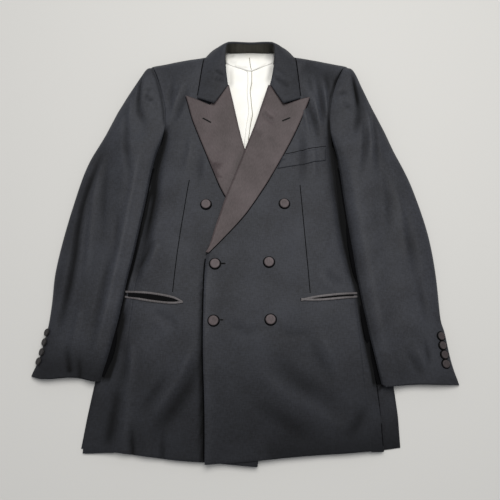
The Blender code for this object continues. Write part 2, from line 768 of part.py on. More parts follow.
def make_collar():
    step, sign, fold, edge, _ = collar_grid()
    outward = edge[:, :2] - fold[:, :2]
    width = np.linalg.norm(outward, axis=1)
    outward /= width[:, None]
    grid = []
    for k in range(len(step)):
        line = []
        for a, drop in ((0.0008, 0.0035), (0.0010, 0.0016), (0.0026, 0.0008)):
            place = fold[k, :2] + a * outward[k]
            line.append((place[0], place[1], fold[k, 2] - drop))
        for u in COLLAR_ACROSS:
            dip = max(0.0, 1 - abs(u - NOTCH_AT) / (NOTCH_AT if u < NOTCH_AT else 1 - NOTCH_AT))
            fade = max(0.0, 1 - step[k] / 1.6) ** 1.2
            place = fold[k, :2] + (0.0026 + u * (width[k] - 0.0026)) * outward[k]
            place = place + np.array((sign[k] * -0.002, -0.028)) * dip * fade
            height = fold[k, 2] + (edge[k, 2] - fold[k, 2]) * u + 0.0030 * math.sin(math.pi * u)
            over = sign[k] > 0
            below = read(SHOULDER_LINE, "y", abs(place[0]), "x") - place[1]
            clear = LAPEL_EDGE_GAP + SHOULDER_CLEAR * (1 - ease(0, 0.035, below))
            front = on_shell(place[0], place[1], WOOL + clear + WOOL / 2, over)[..., 2]
            height = max(height, float(front))
            line.append((place[0], place[1], height))
        grid.append(line)
    return thickened("collar", np.array(grid), WOOL, BLACK_WOOL)


def make_collar_stand():
    step, _, fold, edge, seam = collar_grid()
    outward = edge[:, :2] - fold[:, :2]
    outward /= np.linalg.norm(outward, axis=1)[:, None]
    keep = step >= 2.4
    top = fold.copy()
    top[:, :2] += 0.0008 * outward
    top[:, 2] -= 0.0035 + SEAM + 0.0004
    rise = np.array((0, 0.33, 0.66, 1))[None, :, None]
    grid = seam[keep][:, None] + (top - seam)[keep][:, None] * rise
    inward = np.zeros_like(grid)
    inward[..., :2] = outward[keep][:, None, :]
    return closed_sheet("collar_stand", grid - WOOL / 2 * inward, grid + WOOL / 2 * inward, BLACK_WOOL)


def make_linings():
    rows = np.linspace(LINING_SEAM["y"][0], LINING_SEAM["y"][-1], 12)[:, None]
    across = np.linspace(0, 1, 5)[None, :]
    centre = read(LINING_SEAM, "x", rows)
    for side, sign in SIDES.items():
        x = centre + sign * read(LINING_HALF, "x", rows) * across
        z = BACK_CLEAR + SEAM + 0 * x
        if side == "left":
            x = x - PLEAT_OVER * (1 - across) ** 2
            z = z + PLEAT_RISE * (1 - ease(0, PLEAT_WIDTH, x - centre))
        lower = np.stack([x, rows + 0 * x, z], -1)
        closed_sheet(f"lining_{side}", lower, lower + (0, 0, LINING), IVORY_LINING)


def make_neck_band():
    x = np.linspace(-NECK_BAND_HALF, NECK_BAND_HALF, 15)[:, None]
    low = read(NECK_BAND, "y", x, "x")
    across = np.linspace(0, 1, 4)[None, :]
    y = low + (NECK_BAND_TOP - low) * across
    centre = read(LINING_SEAM, "x", y)
    z = BACK_CLEAR + 3 * SEAM + LINING + PLEAT_RISE * (1 - ease(0.002, 0.024, np.abs(x - centre)))
    lower = np.stack([x + 0 * y, y, z + 0.0004], -1)
    closed_sheet("neck_band", lower, lower + (0, 0, LINING), IVORY_LINING)


def make_welt():
    x = np.linspace(WELT["x"][0], WELT["x"][-1], 9)[:, None]
    across = np.linspace(0, 1, 4)[None, :]
    low = read(WELT, "lower", x, "x")
    y = low + (read(WELT, "upper", x, "x") - low) * across
    x = x + WELT_SLANT * across * (1 - (x - x[0]) / (x[-1] - x[0]))
    lower = on_shell(x, y, WOOL + LAP, True)
    closed_sheet("breast_welt", lower, on_shell(x, y, 2 * WOOL + LAP, True), BLACK_WOOL)


def strip(name, side, x, low, high, out, thickness, finish):
    """A narrow piece along a pocket, between two lines on a front."""
    over = side == "left"
    across = np.linspace(0, 1, 3)[None, :]
    y = low[:, None] + (high - low)[:, None] * across
    px = SIDES[side] * x[:, None]
    domed = thickness * (0.7 + 0.3 * np.sin(math.pi * across)) if thickness == JET else thickness
    closed_sheet(name, on_shell(px, y, out, over), on_shell(px, y, out + domed, over), finish)


def make_hip_pocket(side):
    jets = LEFT_JETS if side == "left" else RIGHT_JETS
    x = np.linspace(jets["x"][0], jets["x"][-1], 11)
    upper = read(jets, "upper", x, "x")
    lower = read(jets, "lower", x, "x")
    out = WOOL + LAP
    strip(f"jet_upper_{side}", side, x, upper - JET_HALF, upper + JET_HALF, out, JET, BLACK_SATIN)
    strip(f"jet_lower_{side}", side, x, lower - JET_HALF, lower + JET_HALF, out, JET, BLACK_SATIN)
    inset = x[1:-1]
    low = lower[1:-1] + JET_HALF + SEAM
    high = upper[1:-1] - JET_HALF - SEAM
    strip(f"pocket_mouth_{side}", side, inset, low, high, out, LINING, POCKETING)


def make_button(name, centre, normal, diameter):
    """A cloth-covered button: a low dome on a short neck, closed underneath."""
    radius = diameter / 2
    rise = BUTTON_RISE * diameter
    profile = [(0.42, 0.0), (0.50, 0.30), (0.96, 0.36), (0.98, 0.62), (0.62, 0.95)]
    spokes = 14
    normal = np.array(normal, float)
    normal /= np.linalg.norm(normal)
    side = np.cross(normal, (0.0, 1.0, 0.0))
    side /= np.linalg.norm(side)
    other = np.cross(normal, side)
    points = [np.array(centre)]
    for share, height in profile:
        for k in range(spokes):
            angle = 2 * math.pi * k / spokes
            spoke = math.cos(angle) * side + math.sin(angle) * other
            points.append(centre + share * radius * spoke + height * rise * normal)
    points.append(centre + rise * normal)
    faces = []
    for k in range(spokes):
        after = (k + 1) % spokes
        faces.append((0, 1 + after, 1 + k))
        for ring in range(len(profile) - 1):
            low = 1 + ring * spokes
            faces.append((low + k, low + after, low + spokes + after, low + spokes + k))
        top = 1 + (len(profile) - 1) * spokes
        faces.append((top + k, top + after, len(points) - 1))
    return add_object(name, points, faces, BLACK_SATIN)


def seat(piece, start, towards):
    """Where a line from a point first meets a piece, and which way its cloth faces there."""
    mesh = bpy.data.objects[piece].data
    mesh.calc_loop_triangles()
    triangles = [tuple(face.vertices) for face in mesh.loop_triangles]
    tree = BVHTree.FromPolygons([vertex.co for vertex in mesh.vertices], triangles)
    place, normal, _, _ = tree.ray_cast(Vector(start), Vector(towards))
    return np.array(place), np.array(normal)


def make_front_buttons():
    for k, (x, y, left) in enumerate(zip(*(FRONT_BUTTONS[c] for c in ("x", "y", "left_front")))):
        front = "front_left" if left else "front_right"
        place, normal = seat(front, (x, y + ASKEW * x, ABOVE), (0, 0, -1))
        make_button(f"button_front_{k + 1}", place + BUTTON_CLEAR * normal, normal, FRONT_BUTTON)


def make_cuff_buttons():
    """The left cuff's buttons face up; the right cuff's stand out from its outer edge."""
    rows = zip(*(CUFF_BUTTONS[c] for c in ("left_x", "left_y", "right_y")))
    for k, (x, y, other_y) in enumerate(rows):
        place, normal = seat("sleeve_top_left", (x, y + ASKEW * x, ABOVE), (0, 0, -1))
        make_button(f"button_cuff_left_{k + 1}", place + BUTTON_CLEAR * normal, normal, SLEEVE_BUTTON)
        edge = read(SLEEVE, "right_out", other_y)
        start = (-edge - ABOVE, other_y - ASKEW * edge, CUFF_BUTTON_HEIGHT)
        place, normal = seat("sleeve_top_right", start, (1, 0, 0))
        make_button(f"button_cuff_right_{k + 1}", place + BUTTON_CLEAR * normal, normal, SLEEVE_BUTTON)


def lay_askew():
    """Slides every piece up the garment at its left and down at its right."""
    for made in bpy.data.objects:
        for vertex in made.data.vertices:
            vertex.co.y += ASKEW * vertex.co.x


def centre_on_floor():
    """Moves every piece so that the origin is the middle of the underside."""
    pieces = [made for made in bpy.data.objects if made.type == "MESH"]
    places = np.concatenate([[tuple(v.co) for v in made.data.vertices] for made in pieces])
    low = places.min(axis=0)
    middle = (low + places.max(axis=0)) / 2
    for made in pieces:
        for vertex in made.data.vertices:
            vertex.co.x -= middle[0]
            vertex.co.y -= middle[1]
            vertex.co.z -= low[2]
    print("moved by", -middle[0], -middle[1], -low[2])


def main():
    for old in list(bpy.data.objects):
        bpy.data.objects.remove(old)
    for side in SIDES:
        make_back(side)
        make_side_body(side)
        make_front(side)
        make_sleeve_under(side)
        make_sleeve_top(side)
        make_lapel(side)
        make_hip_pocket(side)
    make_collar()
    make_collar_stand()
    make_linings()
    make_neck_band()
    make_welt()
    lay_askew()
    make_front_buttons()
    make_cuff_buttons()
    centre_on_floor()


main()
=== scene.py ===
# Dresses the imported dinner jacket: wool, satin facings, covered buttons, lining, stitches.
# Metres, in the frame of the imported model: +Y up the garment, +X to the wearer's left, +Z off the floor.
import math
import bmesh
import bpy
import numpy as np
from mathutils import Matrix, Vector
from mathutils.bvhtree import BVHTree


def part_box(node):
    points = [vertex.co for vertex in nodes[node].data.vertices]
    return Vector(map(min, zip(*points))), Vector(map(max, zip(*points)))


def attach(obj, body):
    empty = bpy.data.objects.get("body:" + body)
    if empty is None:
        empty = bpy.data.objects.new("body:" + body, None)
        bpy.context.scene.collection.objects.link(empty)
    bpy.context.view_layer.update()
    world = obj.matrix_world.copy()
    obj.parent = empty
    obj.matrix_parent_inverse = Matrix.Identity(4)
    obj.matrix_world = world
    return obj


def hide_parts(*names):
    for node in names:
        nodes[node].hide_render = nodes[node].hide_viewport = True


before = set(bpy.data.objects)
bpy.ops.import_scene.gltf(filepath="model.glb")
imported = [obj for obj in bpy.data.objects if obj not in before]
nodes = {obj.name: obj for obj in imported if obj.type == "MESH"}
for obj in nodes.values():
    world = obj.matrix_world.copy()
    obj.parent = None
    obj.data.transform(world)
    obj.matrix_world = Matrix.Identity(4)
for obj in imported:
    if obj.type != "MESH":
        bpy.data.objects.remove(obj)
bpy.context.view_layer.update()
print("frame loaded:", len(nodes), "nodes")

# Where the centre back lies, and how far the jacket is out of square with the picture
layout = {"centre": -0.00375, "askew": 0.0194}


# Colour and material helpers
def linear(hexColour):
    values = [int(hexColour[k:k + 2], 16) / 255 for k in (1, 3, 5)]
    return [v / 12.92 if v <= 0.04045 else ((v + 0.055) / 1.055) ** 2.4 for v in values] + [1.0]


def linked(tree, source, socket):  # a node stands for its first output
    tree.links.new(source.outputs[0] if isinstance(source, bpy.types.Node) else source, socket)


# Adds a node with its properties, its inputs' values and the nodes or sockets that feed it
def addNode(tree, kind, settings=None):
    node = tree.nodes.new(kind)
    for key, value in (settings or {}).items():
        if isinstance(value, (bpy.types.Node, bpy.types.NodeSocket)):
            linked(tree, value, node.inputs[key])
        elif isinstance(key, str) and hasattr(node, key):
            setattr(node, key, value)
        else:
            node.inputs[key].default_value = value
    return node


def startMaterial(name, uniform):
    made = bpy.data.materials.new(name)
    made.use_nodes = True
    shader = made.node_tree.nodes["Principled BSDF"]
    for socket, value in uniform.items():
        shader.inputs[socket].default_value = value
    return made, made.node_tree, shader


# Wool barathea, worsted and piece-dyed: a dry black with fine crossed threads and a soft grey bloom,
# duller in its hollows
wool = {
    "threadMm": 2.3,  # real threads are 0.4 mm; drawn coarser so that the weave shows
    "crossed": True, "ribMm": 1.2, "ribShare": 0.35, "cloudMm": 60, "cloudDetail": 3.0, "threadShare": 0.8,
    "spread": {"From Min": 1.02, "From Max": 1.58}, "bump": {"Strength": 0.22, "Distance": 0.0005}, "duller": -0.4,
    "uniform": {"Roughness": 0.62, "Specular IOR Level": 0.25, "Sheen Weight": 0.1, "Sheen Roughness": 0.6,
                "Sheen Tint": linear("#9a9da6")},
}
# Silk satin: warp floats lie one way, so black shines warm and brown, in a long soft gleam
satin = {
    "threadMm": 2.0,  # real floats are 0.1 mm; drawn coarser so that they show
    "crossed": False, "cloudMm": 45, "cloudDetail": 2.0, "threadShare": 0.8,
    "spread": {"From Min": 0.63, "From Max": 1.17}, "bump": {"Strength": 0.14, "Distance": 0.0004},
    "uniform": {"Roughness": 0.56, "Specular IOR Level": 0.3, "Anisotropic": 0.3, "Sheen Weight": 0.1},
}
# Cupro twill lining: smooth and bright ivory, warmer where it creases
lining = {
    "threadMm": 1.2, "crossed": True, "cloudMm": 25, "cloudDetail": 4.0, "threadShare": 0.0,
    "spread": {"From Min": 0.45, "From Max": 0.8, "To Max": 0.6}, "bump": {"Strength": 0.12, "Distance": 0.0004},
    "uniform": {"Roughness": 0.45},
}


# Every cloth carries "grain", a map in metres turned to its weave, and "tone", painted light: darker in its
# hollows as painted shade, lighter on its ridges as a painted highlight
def makeCloth(name, kind, low, high):
    made, tree, shader = startMaterial(name, kind["uniform"])
    grain = addNode(tree, "ShaderNodeUVMap", {"uv_map": "grain"})
    tone = addNode(tree, "ShaderNodeAttribute", {"attribute_name": "tone"}).outputs["Fac"]
    place = addNode(tree, "ShaderNodeTexCoord").outputs["Object"]
    warp, weft = (1.0, 0.28, 1.0), (0.28, 1.0, 1.0)  # a thread shows for three or four times its thickness
    runs = []
    for way in (warp, weft) if kind["crossed"] else (warp,):
        along = addNode(tree, "ShaderNodeMapping", {"Scale": way, "Vector": grain})
        runs.append(addNode(tree, "ShaderNodeTexNoise", {
            "Scale": 1000 / kind["threadMm"], "Detail": 2.0, "Vector": along}))
    threads = runs[0]
    if kind["crossed"]:
        threads = addNode(tree, "ShaderNodeMath", {"operation": "ADD", 0: runs[0], 1: runs[1]})
    cloud = addNode(tree, "ShaderNodeTexNoise", {
        "Scale": 1000 / kind["cloudMm"], "Detail": kind["cloudDetail"], "Vector": place})
    mixed = addNode(tree, "ShaderNodeMath", {
        "operation": "MULTIPLY_ADD", 0: threads, 1: kind["threadShare"], 2: cloud})
    share = addNode(tree, "ShaderNodeMapRange", {**kind["spread"], "Value": mixed})
    blend = addNode(tree, "ShaderNodeMix", {"data_type": "RGBA", 0: share, 6: linear(low), 7: linear(high)})
    # Painted light: the colour is scaled by one plus the tone
    daylight = addNode(tree, "ShaderNodeMath", {"operation": "ADD", 0: tone, 1: 1.0})
    toned = addNode(tree, "ShaderNodeVectorMath", {"operation": "SCALE", 0: blend.outputs[2], "Scale": daylight})
    linked(tree, toned, shader.inputs["Base Color"])
    height = threads
    if kind is wool:
        rib = addNode(tree, "ShaderNodeTexWave", {
            "Scale": 314 / kind["ribMm"], "Distortion": 1.2, "Detail": 2.0, "bands_direction": "DIAGONAL",
            "Vector": grain})
        height = addNode(tree, "ShaderNodeMath", {
            "operation": "MULTIPLY_ADD", 0: rib.outputs["Fac"], 1: kind["ribShare"], 2: threads})
        rough = addNode(tree, "ShaderNodeMath", {
            "operation": "MULTIPLY_ADD", 0: tone, 1: kind["duller"], 2: kind["uniform"]["Roughness"]})
        linked(tree, rough, shader.inputs["Roughness"])
    bump = addNode(tree, "ShaderNodeBump", {**kind["bump"], "Height": height})
    linked(tree, bump, shader.inputs["Normal"])
    return made


# Cotton pocketing: dull and black, deep in the pocket mouths, its weave in flecks of 1.1 mm
pocketing = {"pattern": "ShaderNodeTexNoise", "settings": {"Scale": 900, "Detail": 2.0}}
# Silk twist, the thread of buttonholes and tacks: round and faintly bright, its plies 0.45 mm apart
twist = {"pattern": "ShaderNodeTexWave", "settings": {"Scale": 700, "Distortion": 2.0}}


def makeYarn(name, yarn, low, high, roughness, specular):
    made, tree, shader = startMaterial(name, {"Roughness": roughness, "Specular IOR Level": specular})
    place = addNode(tree, "ShaderNodeTexCoord").outputs["Object"]
    shown = addNode(tree, yarn["pattern"], {**yarn["settings"], "Vector": place}).outputs["Fac"]
    blend = addNode(tree, "ShaderNodeMix", {"data_type": "RGBA", 0: shown, 6: linear(low), 7: linear(high)})
    linked(tree, blend.outputs[2], shader.inputs["Base Color"])
    return made


woolCloth = makeCloth("black wool barathea", wool, "#212227", "#31333a")
standCloth = makeCloth("brown-black undercollar melton", wool, "#282620", "#3f3c34")
facingSatin = makeCloth("black silk satin", satin, "#3b3233", "#4f4547")
# Piping and button covers: the facings' black satin drawn lighter and greyer, a painted highlight on their rounded
# faces
pipingSatin = makeCloth("black silk satin piping", satin, "#4a4647", "#686466")
buttonSatin = makeCloth("black silk satin button cover", satin, "#4a4041", "#655a5d")
liningCloth = makeCloth("ivory cupro lining", lining, "#fdfcf8", "#f5f2e8")
pocketCloth = makeYarn("black cotton pocketing", pocketing, "#050506", "#0c0c0e", 0.95, 0.1)
blackTwist = makeYarn("black silk twist", twist, "#0b0b0c", "#1b1a1b", 0.6, 0.5)
# Painted shadow, drawn as dull yarns: a darker ivory along the lining's pleat, near-black in seams, slits and gaps,
# under edges and round the buttons
liningShade = makeYarn("ivory lining in its own shade", twist, "#69654f", "#8f8a74", 0.9, 0.1)
seamShade = makeYarn("black thread sunk in a pressed seam", twist, "#050506", "#0d0d0f", 0.95, 0.05)
print("materials made")

# The picture's own camera, so that folds and seams can be placed on it
eye = Vector((0.01045, -0.34835, 1.02))
ahead = Vector((-layout["askew"], 1.0, 0.0)).normalized()
tilt = math.radians(17.0)
lookAlong = math.sin(tilt) * ahead + Vector((0, 0, -math.cos(tilt)))
lookRight = lookAlong.cross(Vector((0, 0, 1))).normalized()
lookUp = lookRight.cross(lookAlong)
focalLength = 560.0
pictureSize = 500
clothHeight = 0.019  # how high the upper cloths lie above the floor


def seen(u, v, height=clothHeight):
    middle = pictureSize / 2
    ray = lookAlong + lookRight * ((u - middle) / focalLength) + lookUp * ((middle - v) / focalLength)
    place = eye + ray * ((height - eye.z) / ray.z)
    return place.x, place.y


# A fold: half its width and its height in millimetres, below zero for a trough, where it runs in the
# picture, and how much of its length its ends take to die out, one number or two. Its tone is painted
# light: how much brighter its colour is drawn, below zero painted shade.
def crease(half, depth, at, fade=0.3, tone=0.0, flat=False, height=clothHeight):
    fade = fade if isinstance(fade, tuple) else (fade, fade)
    return {"half": half, "depth": depth, "at": at, "fade": fade, "tone": tone, "flat": flat, "height": height}


# Painted shade where daylight hardly reaches, or a painted gleam: tone alone, with no fold in the shape
def dusk(half, tone, at, fade=0.3, flat=False, height=clothHeight):
    return crease(half, 0.0, at, fade, tone, flat, height)


# Every trough below is also drawn darker, painted shade, and every ridge lighter, a painted highlight; the dusk
# entries are tone alone: painted shade, and painted highlight where the tone is above zero
bodyFolds = {
    "chestPleatA": crease(4.6, -2.6, [(299, 84), (305, 98), (311, 113), (317, 130), (321, 146)], (0.5, 0.4)),
    "chestPleatB": crease(4, -2.6, [(315, 72), (319, 90), (322.5, 110), (326, 132)], (0.45, 0.4)),
    "chestPleatC": crease(3.8, -1.7, [(325, 72), (328, 88), (330, 104)], 0.45),
    "chestPleatD": crease(3.6, -1.3, [(307, 74), (311, 90), (316, 106)], 0.45),
    "chestRidgeA": crease(4, 2.2, [(309, 84), (315, 104), (321, 130)], 0.4),
    "chestRidgeB": crease(3.6, 1.8, [(321, 76), (325, 96), (328, 118)], 0.4),
    "chestRidgeC": crease(5, 1.6, [(299, 98), (305, 118), (310, 140)], 0.4),
    "acrossWelt": crease(6.5, -1.6, [(298, 120), (303, 145), (303, 170), (302, 192)], 0.5),
    "besideWelt": crease(7, 1.3, [(312, 142), (314, 160), (314, 182)], 0.4),
    "rightShoulder": crease(6, -1.4, [(174, 74), (171, 92), (169, 112)], (0.5, 0.4)),
    "rightChest": crease(6, -1.6, [(190, 82), (184, 100), (177, 116), (168, 130)], (0.5, 0.4)),
    "rightChestRidge": crease(5, 1.4, [(184, 82), (178, 98), (170, 116)], 0.4),
    "rightRibs": crease(6, -1.2, [(202, 148), (200, 166), (197, 188)], 0.5),
    "rightRibsRidge": crease(9, 1.3, [(192, 130), (190, 152), (184, 180)], 0.4),
    "rightSideHollow": crease(9, -4.6, [(165, 122), (163, 145), (156, 168), (154, 195), (150, 216), (145, 238),
        (137, 265), (131, 285)], (0.12, 0.1), tone=0.42),
    "rightSideLow": crease(9, -4.6, [(124, 300), (119, 325), (113, 350), (109, 378)], tone=0.3),
    "leftSideHollow": crease(9, -4.6, [(330, 128), (333, 150), (337, 180), (341, 215), (346, 245), (354, 270),
        (359, 288)], (0.12, 0.1), tone=0.42),
    "leftSideLow": crease(8, -4, [(361, 300), (366, 330), (372, 358), (376, 378)], tone=0.3),
    "rightElbowNip": crease(5, -2.4, [(152, 236), (147, 250), (141, 262), (135, 270)]),
    "rightElbowRidge": crease(5, 1.3, [(158, 240), (153, 254), (146, 268)]),
    "skirtRidge": crease(8, 2.4, [(198, 330), (191, 350), (181, 374), (168, 394), (152, 416), (141, 434)], 0.35),
    "skirtHollow": crease(12, -2, [(202, 344), (197, 364), (188, 386), (175, 406), (160, 426), (150, 446)], 0.4),
    "skirtCross": crease(8, -1.4, [(170, 366), (160, 384), (147, 402), (136, 416)], 0.5),
    "skirtKnee": crease(9, -1.6, [(120, 334), (124, 352), (123, 370), (116, 388)]),
    "skirtKneeRidge": crease(7, 1.6, [(128, 340), (131, 360), (129, 380), (121, 398)]),
    "skirtValley": crease(9.5, -1.9, [(119, 372), (115, 400), (110, 428), (105, 452)], (0.4, 0.2)),
    "skirtSwell": crease(9, 1.8, [(128, 388), (125, 420), (122, 450)], (0.3, 0)),
    "hemNip": crease(4, -2, [(130, 418), (131, 438), (132, 457)], (0.7, 0)),
    "hemNipInner": crease(4.5, -1.4, [(162, 426), (162, 442), (161, 459)], (0.7, 0)),
    "hemNipOuter": crease(5, 1.2, [(147, 430), (147, 444), (146, 458)], (0.7, 0)),
    "underPocket": crease(5, -1.2, [(146, 308), (160, 312), (172, 320), (180, 332)], 0.4),
    "underPocketRidge": crease(5, 0.9, [(150, 318), (162, 326), (170, 338)]),
    "leftSkirtLong": crease(15, -1.4, [(258, 344), (282, 366), (304, 384), (326, 398), (352, 406)], 0.5),
    "leftSkirtUpper": crease(9, -1.3, [(304, 326), (314, 346), (324, 364), (338, 388)], 0.5),
    "leftSkirtUpperRidge": crease(8, 1.2, [(318, 326), (328, 346), (338, 366)], 0.5),
    "leftSkirtLower": crease(15, -1.3, [(244, 392), (270, 412), (298, 428), (334, 440)], 0.5),
    "leftSkirtCorner": crease(9, -1.2, [(344, 440), (358, 424), (370, 402)], 0.4),
    "leftSkirtSwell": crease(12, 1.7, [(250, 364), (284, 394), (332, 416)], 0.4),
    "leftSkirtSwellLow": crease(10, 1.2, [(300, 400), (336, 424), (360, 432)], 0.4),
    "waistDrag": crease(7, -1.1, [(222, 320), (246, 331), (268, 326)], 0.4),
    "waistDragRight": crease(7, -1.2, [(274, 324), (292, 333), (316, 332)], 0.4),
    "pocketDrag": crease(6, -1.1, [(326, 266), (334, 278), (346, 284)]),
    "pocketDragRidge": crease(6, 0.9, [(318, 272), (328, 284), (340, 290)]),
}
sleeveFoldsRight = {
    "headCrease": crease(3.6, -3.2, [(144, 72), (140.5, 88), (139, 104), (139, 122)], (0.35, 0.45)),
    "headTail": crease(6, -1.8, [(138, 104), (141, 117), (147, 130)], 0.5),
    "nipUpper": crease(3, -1.2, [(145, 93), (150, 91), (156, 91)], (0.4, 0.5)),
    "nipLower": crease(3.4, -2.2, [(144, 96), (150, 101), (158, 106)], (0.3, 0.5)),
    "nipRidge": crease(3.6, 1.4, [(146, 102), (152, 106), (158, 112)], (0.4, 0.5)),
    "headRidge": crease(4.5, 1.6, [(132, 90), (130, 106), (131, 124)], 0.4),
    "armTrough": crease(6, -1.9, [(127, 104), (126, 126), (127, 150), (130, 174), (131, 196)], (0.4, 0.5)),
    "foreTrough": crease(7.5, -3.6, [(110, 138), (101, 154), (94, 172), (87, 190), (81.5, 208), (77.5, 228), (75, 248),
        (72, 268), (68, 287), (63, 307), (58, 326), (56, 344)], 0.25),
    "foreSecond": crease(6, -1.6, [(110, 150), (105, 176), (103, 204), (102, 232), (98, 256)], (0.4, 0.5)),
    "foreRidge": crease(6.5, 1.7, [(104, 146), (98, 172), (93, 200), (90, 230), (87, 262), (82, 296)], (0.3, 0.4)),
    "innerFaint": crease(6, -1.3, [(116, 204), (117, 226), (114, 250), (108, 276)], (0.4, 0.5)),
    "elbowTrough": crease(6.5, -1.6, [(112, 236), (107, 264), (101, 292), (95, 320), (88, 350)], 0.4),
    "innerRidge": crease(8.5, 1.5, [(142, 138), (137, 170), (129, 208), (121, 246), (113, 280), (105, 312), (97, 342),
        (89, 370)], (0.25, 0.2)),
    "outerRidge": crease(6, 1.4, [(100, 160), (90, 188), (84, 214), (80, 244), (74, 276), (66, 308)], (0.3, 0.4)),
    "lowRidge": crease(7, 1.4, [(82, 300), (76, 326), (70, 350)], 0.4),
    "cuffNip": crease(4.5, -1.7, [(63, 340), (67, 356), (69, 374)], (0.5, 0.1)),
    "cuffSecond": crease(4, -1.2, [(77, 352), (79, 366), (79, 378)], (0.5, 0)),
    "cuffDusk": dusk(34, -0.36, [(46, 366), (96, 378)], 0),
    "sleeveDusk": dusk(44, -0.15, [(118, 120), (98, 190), (84, 260), (68, 340)], (0.2, 0.1)),
    "outerDusk": dusk(14, -0.14, [(92, 160), (76, 200), (66, 240), (58, 280), (48, 320)], 0.2),
}
sleeveFoldsLeft = {
    "headCrease": crease(3.8, -4, [(350.5, 70), (353.5, 86), (356, 101), (358, 118)], (0.35, 0.4)),
    "headShade": dusk(12, -0.42, [(352, 78), (358, 96), (360, 118), (358, 140)], (0.3, 0.5)),
    "headTail": crease(6, -2, [(358, 106), (357, 124), (352, 142)], 0.5),
    "nipAcross": crease(3.2, -2, [(334, 98), (341, 95.5), (350, 97)], 0.4),
    "nipRidge": crease(3.2, 1.4, [(334, 102), (341, 100), (350, 102)], 0.4),
    "nipLower": crease(4.2, -1.5, [(339, 103), (346, 108), (353, 114)], 0.5),
    "armTrough": crease(5.5, -1.9, [(363, 116), (364.5, 138), (363.5, 160), (360, 184)], (0.4, 0.5)),
    "armRidge": crease(7, 2, [(364, 98), (369, 122), (370.5, 148), (371, 176)], (0.35, 0.45)),
    "outerTrough": crease(5.5, -1.7, [(372, 104), (375, 132), (377, 158), (379, 186)], (0.45, 0.5)),
    "outerEdge": crease(7, -1.4, [(364, 86), (378, 114), (392, 144), (404, 172)], 0.4),
    "elbowSoft": crease(6.5, -1.5, [(384, 168), (388.5, 194), (390, 222), (389, 244)], 0.5),
    "outerLow": crease(9, -1.7, [(400, 200), (408, 230), (415, 260), (421, 292)], 0.5),
    "outerGleam": crease(9, 1.3, [(392, 176), (400, 206), (406, 240), (410, 276)], (0.4, 0.5)),
    "foreSoft": crease(7, -1.3, [(418, 276), (424, 300), (430, 324)], 0.5),
    "cuffDrag": crease(6, -1.6, [(404, 344), (415, 360), (426, 380)], (0.5, 0.4)),
    "cuffNip": crease(4, -1.8, [(424, 336), (429, 352), (432, 368)], (0.5, 0.4)),
    "cuffRidge": crease(4.5, 1.3, [(414, 342), (423, 358), (430, 374)], (0.5, 0.4)),
    "innerRidge": crease(13, 1, [(346, 140), (352, 178), (359, 216), (366, 256), (374, 294), (382, 332), (391, 372)],
        (0.25, 0.2)),
    "innerShade": dusk(7, -0.3, [(337, 130), (340, 166), (346, 204), (352, 238), (360, 276), (370, 320), (379, 360)],
        (0.3, 0.1)),
}
collarFolds = {
    "rightLeaf": crease(3, -1.8, [(214, 73), (220, 77), (226, 81)]),
    "rightLeafLow": crease(2.8, -1.5, [(214, 82), (220, 83), (226, 85)]),
    "rightLeafDusk": dusk(40, -0.2, [(212, 60), (206, 76), (203, 96)], 0),
    "leftLeaf": crease(4, -1.8, [(272, 80), (279, 84), (290, 90)]),
    "leftLeafUpper": crease(3.6, -0.8, [(273, 72), (280, 75), (288, 82)]),
    "leftLeafDusk": dusk(40, -0.24, [(284, 60), (292, 76), (296, 96)], 0),
}
# Painted shade on the collar stand, with no change in shape: its two ends and four narrow lines darker
standShading = {
    "leftEnd": dusk(8, -0.55, [(229.5, 40), (228.5, 46), (228, 52)], 0),
    "rightEnd": dusk(8, -0.55, [(270.5, 40), (271.5, 46), (272, 52)], 0),
    "leftRib": dusk(1.4, -0.22, [(235.5, 41), (235.5, 52)], 0),
    "innerRib": dusk(1.2, -0.25, [(243, 41), (243, 52)], 0),
    "outerRib": dusk(1.2, -0.15, [(256, 41), (256, 52)], 0),
    "rightRib": dusk(1.4, -0.22, [(264, 41), (264, 52)], 0),
}
# Painted shade on the lining, with no change in shape: at the neck band's corners and lower edge, beside the lapels
# and along the centre pleat
liningShading = {
    "cornerRight": dusk(4, -0.26, [(227, 57), (236, 56)]),
    "cornerRightLow": dusk(4.5, -0.16, [(228, 61), (238, 64)]),
    "bandRight": dusk(2.4, -0.2, [(234, 65.4), (241.6, 67.6), (250, 68)]),
    "bandLeft": dusk(2.4, -0.15, [(250, 70), (257, 69.6), (263, 65.6), (269, 62)]),
    "cornerLeft": dusk(8, -0.22, [(264, 57), (273, 58)]),
    "besideRight": dusk(4, -0.32, [(228.5, 64), (230, 76), (231.5, 90)]),
    "besideLeft": dusk(5, -0.34, [(272, 62), (270, 72), (267, 84)]),
    "pleatUpper": dusk(2.6, -0.2, [(251.4, 80), (251, 92)]),
    "pleatLower": dusk(2.6, -0.2, [(252, 112), (251, 122), (249.4, 132)]),
    "softRight": dusk(8, -0.05, [(241, 92), (243, 112)]),
}
for fold in liningShading.values():
    fold["height"] = 0.004  # the lining lies low, on the back
# Painted shade alone, with no change in shape: along the armhole seams, and darker beside the sleeves, under the arms,
# on the shoulders and at the hem, where the body falls away into shadow
armholeShading = {
    "armholeRight": dusk(2.8, -0.5, [(150.5, 67), (156.5, 80), (161, 96), (163.6, 112), (164.6, 128)], 0.1),
    "armholeLeft": dusk(3.2, -0.65, [(343.5, 68.5), (335, 83), (330, 99), (328.2, 117), (330, 134)], 0.1),
}
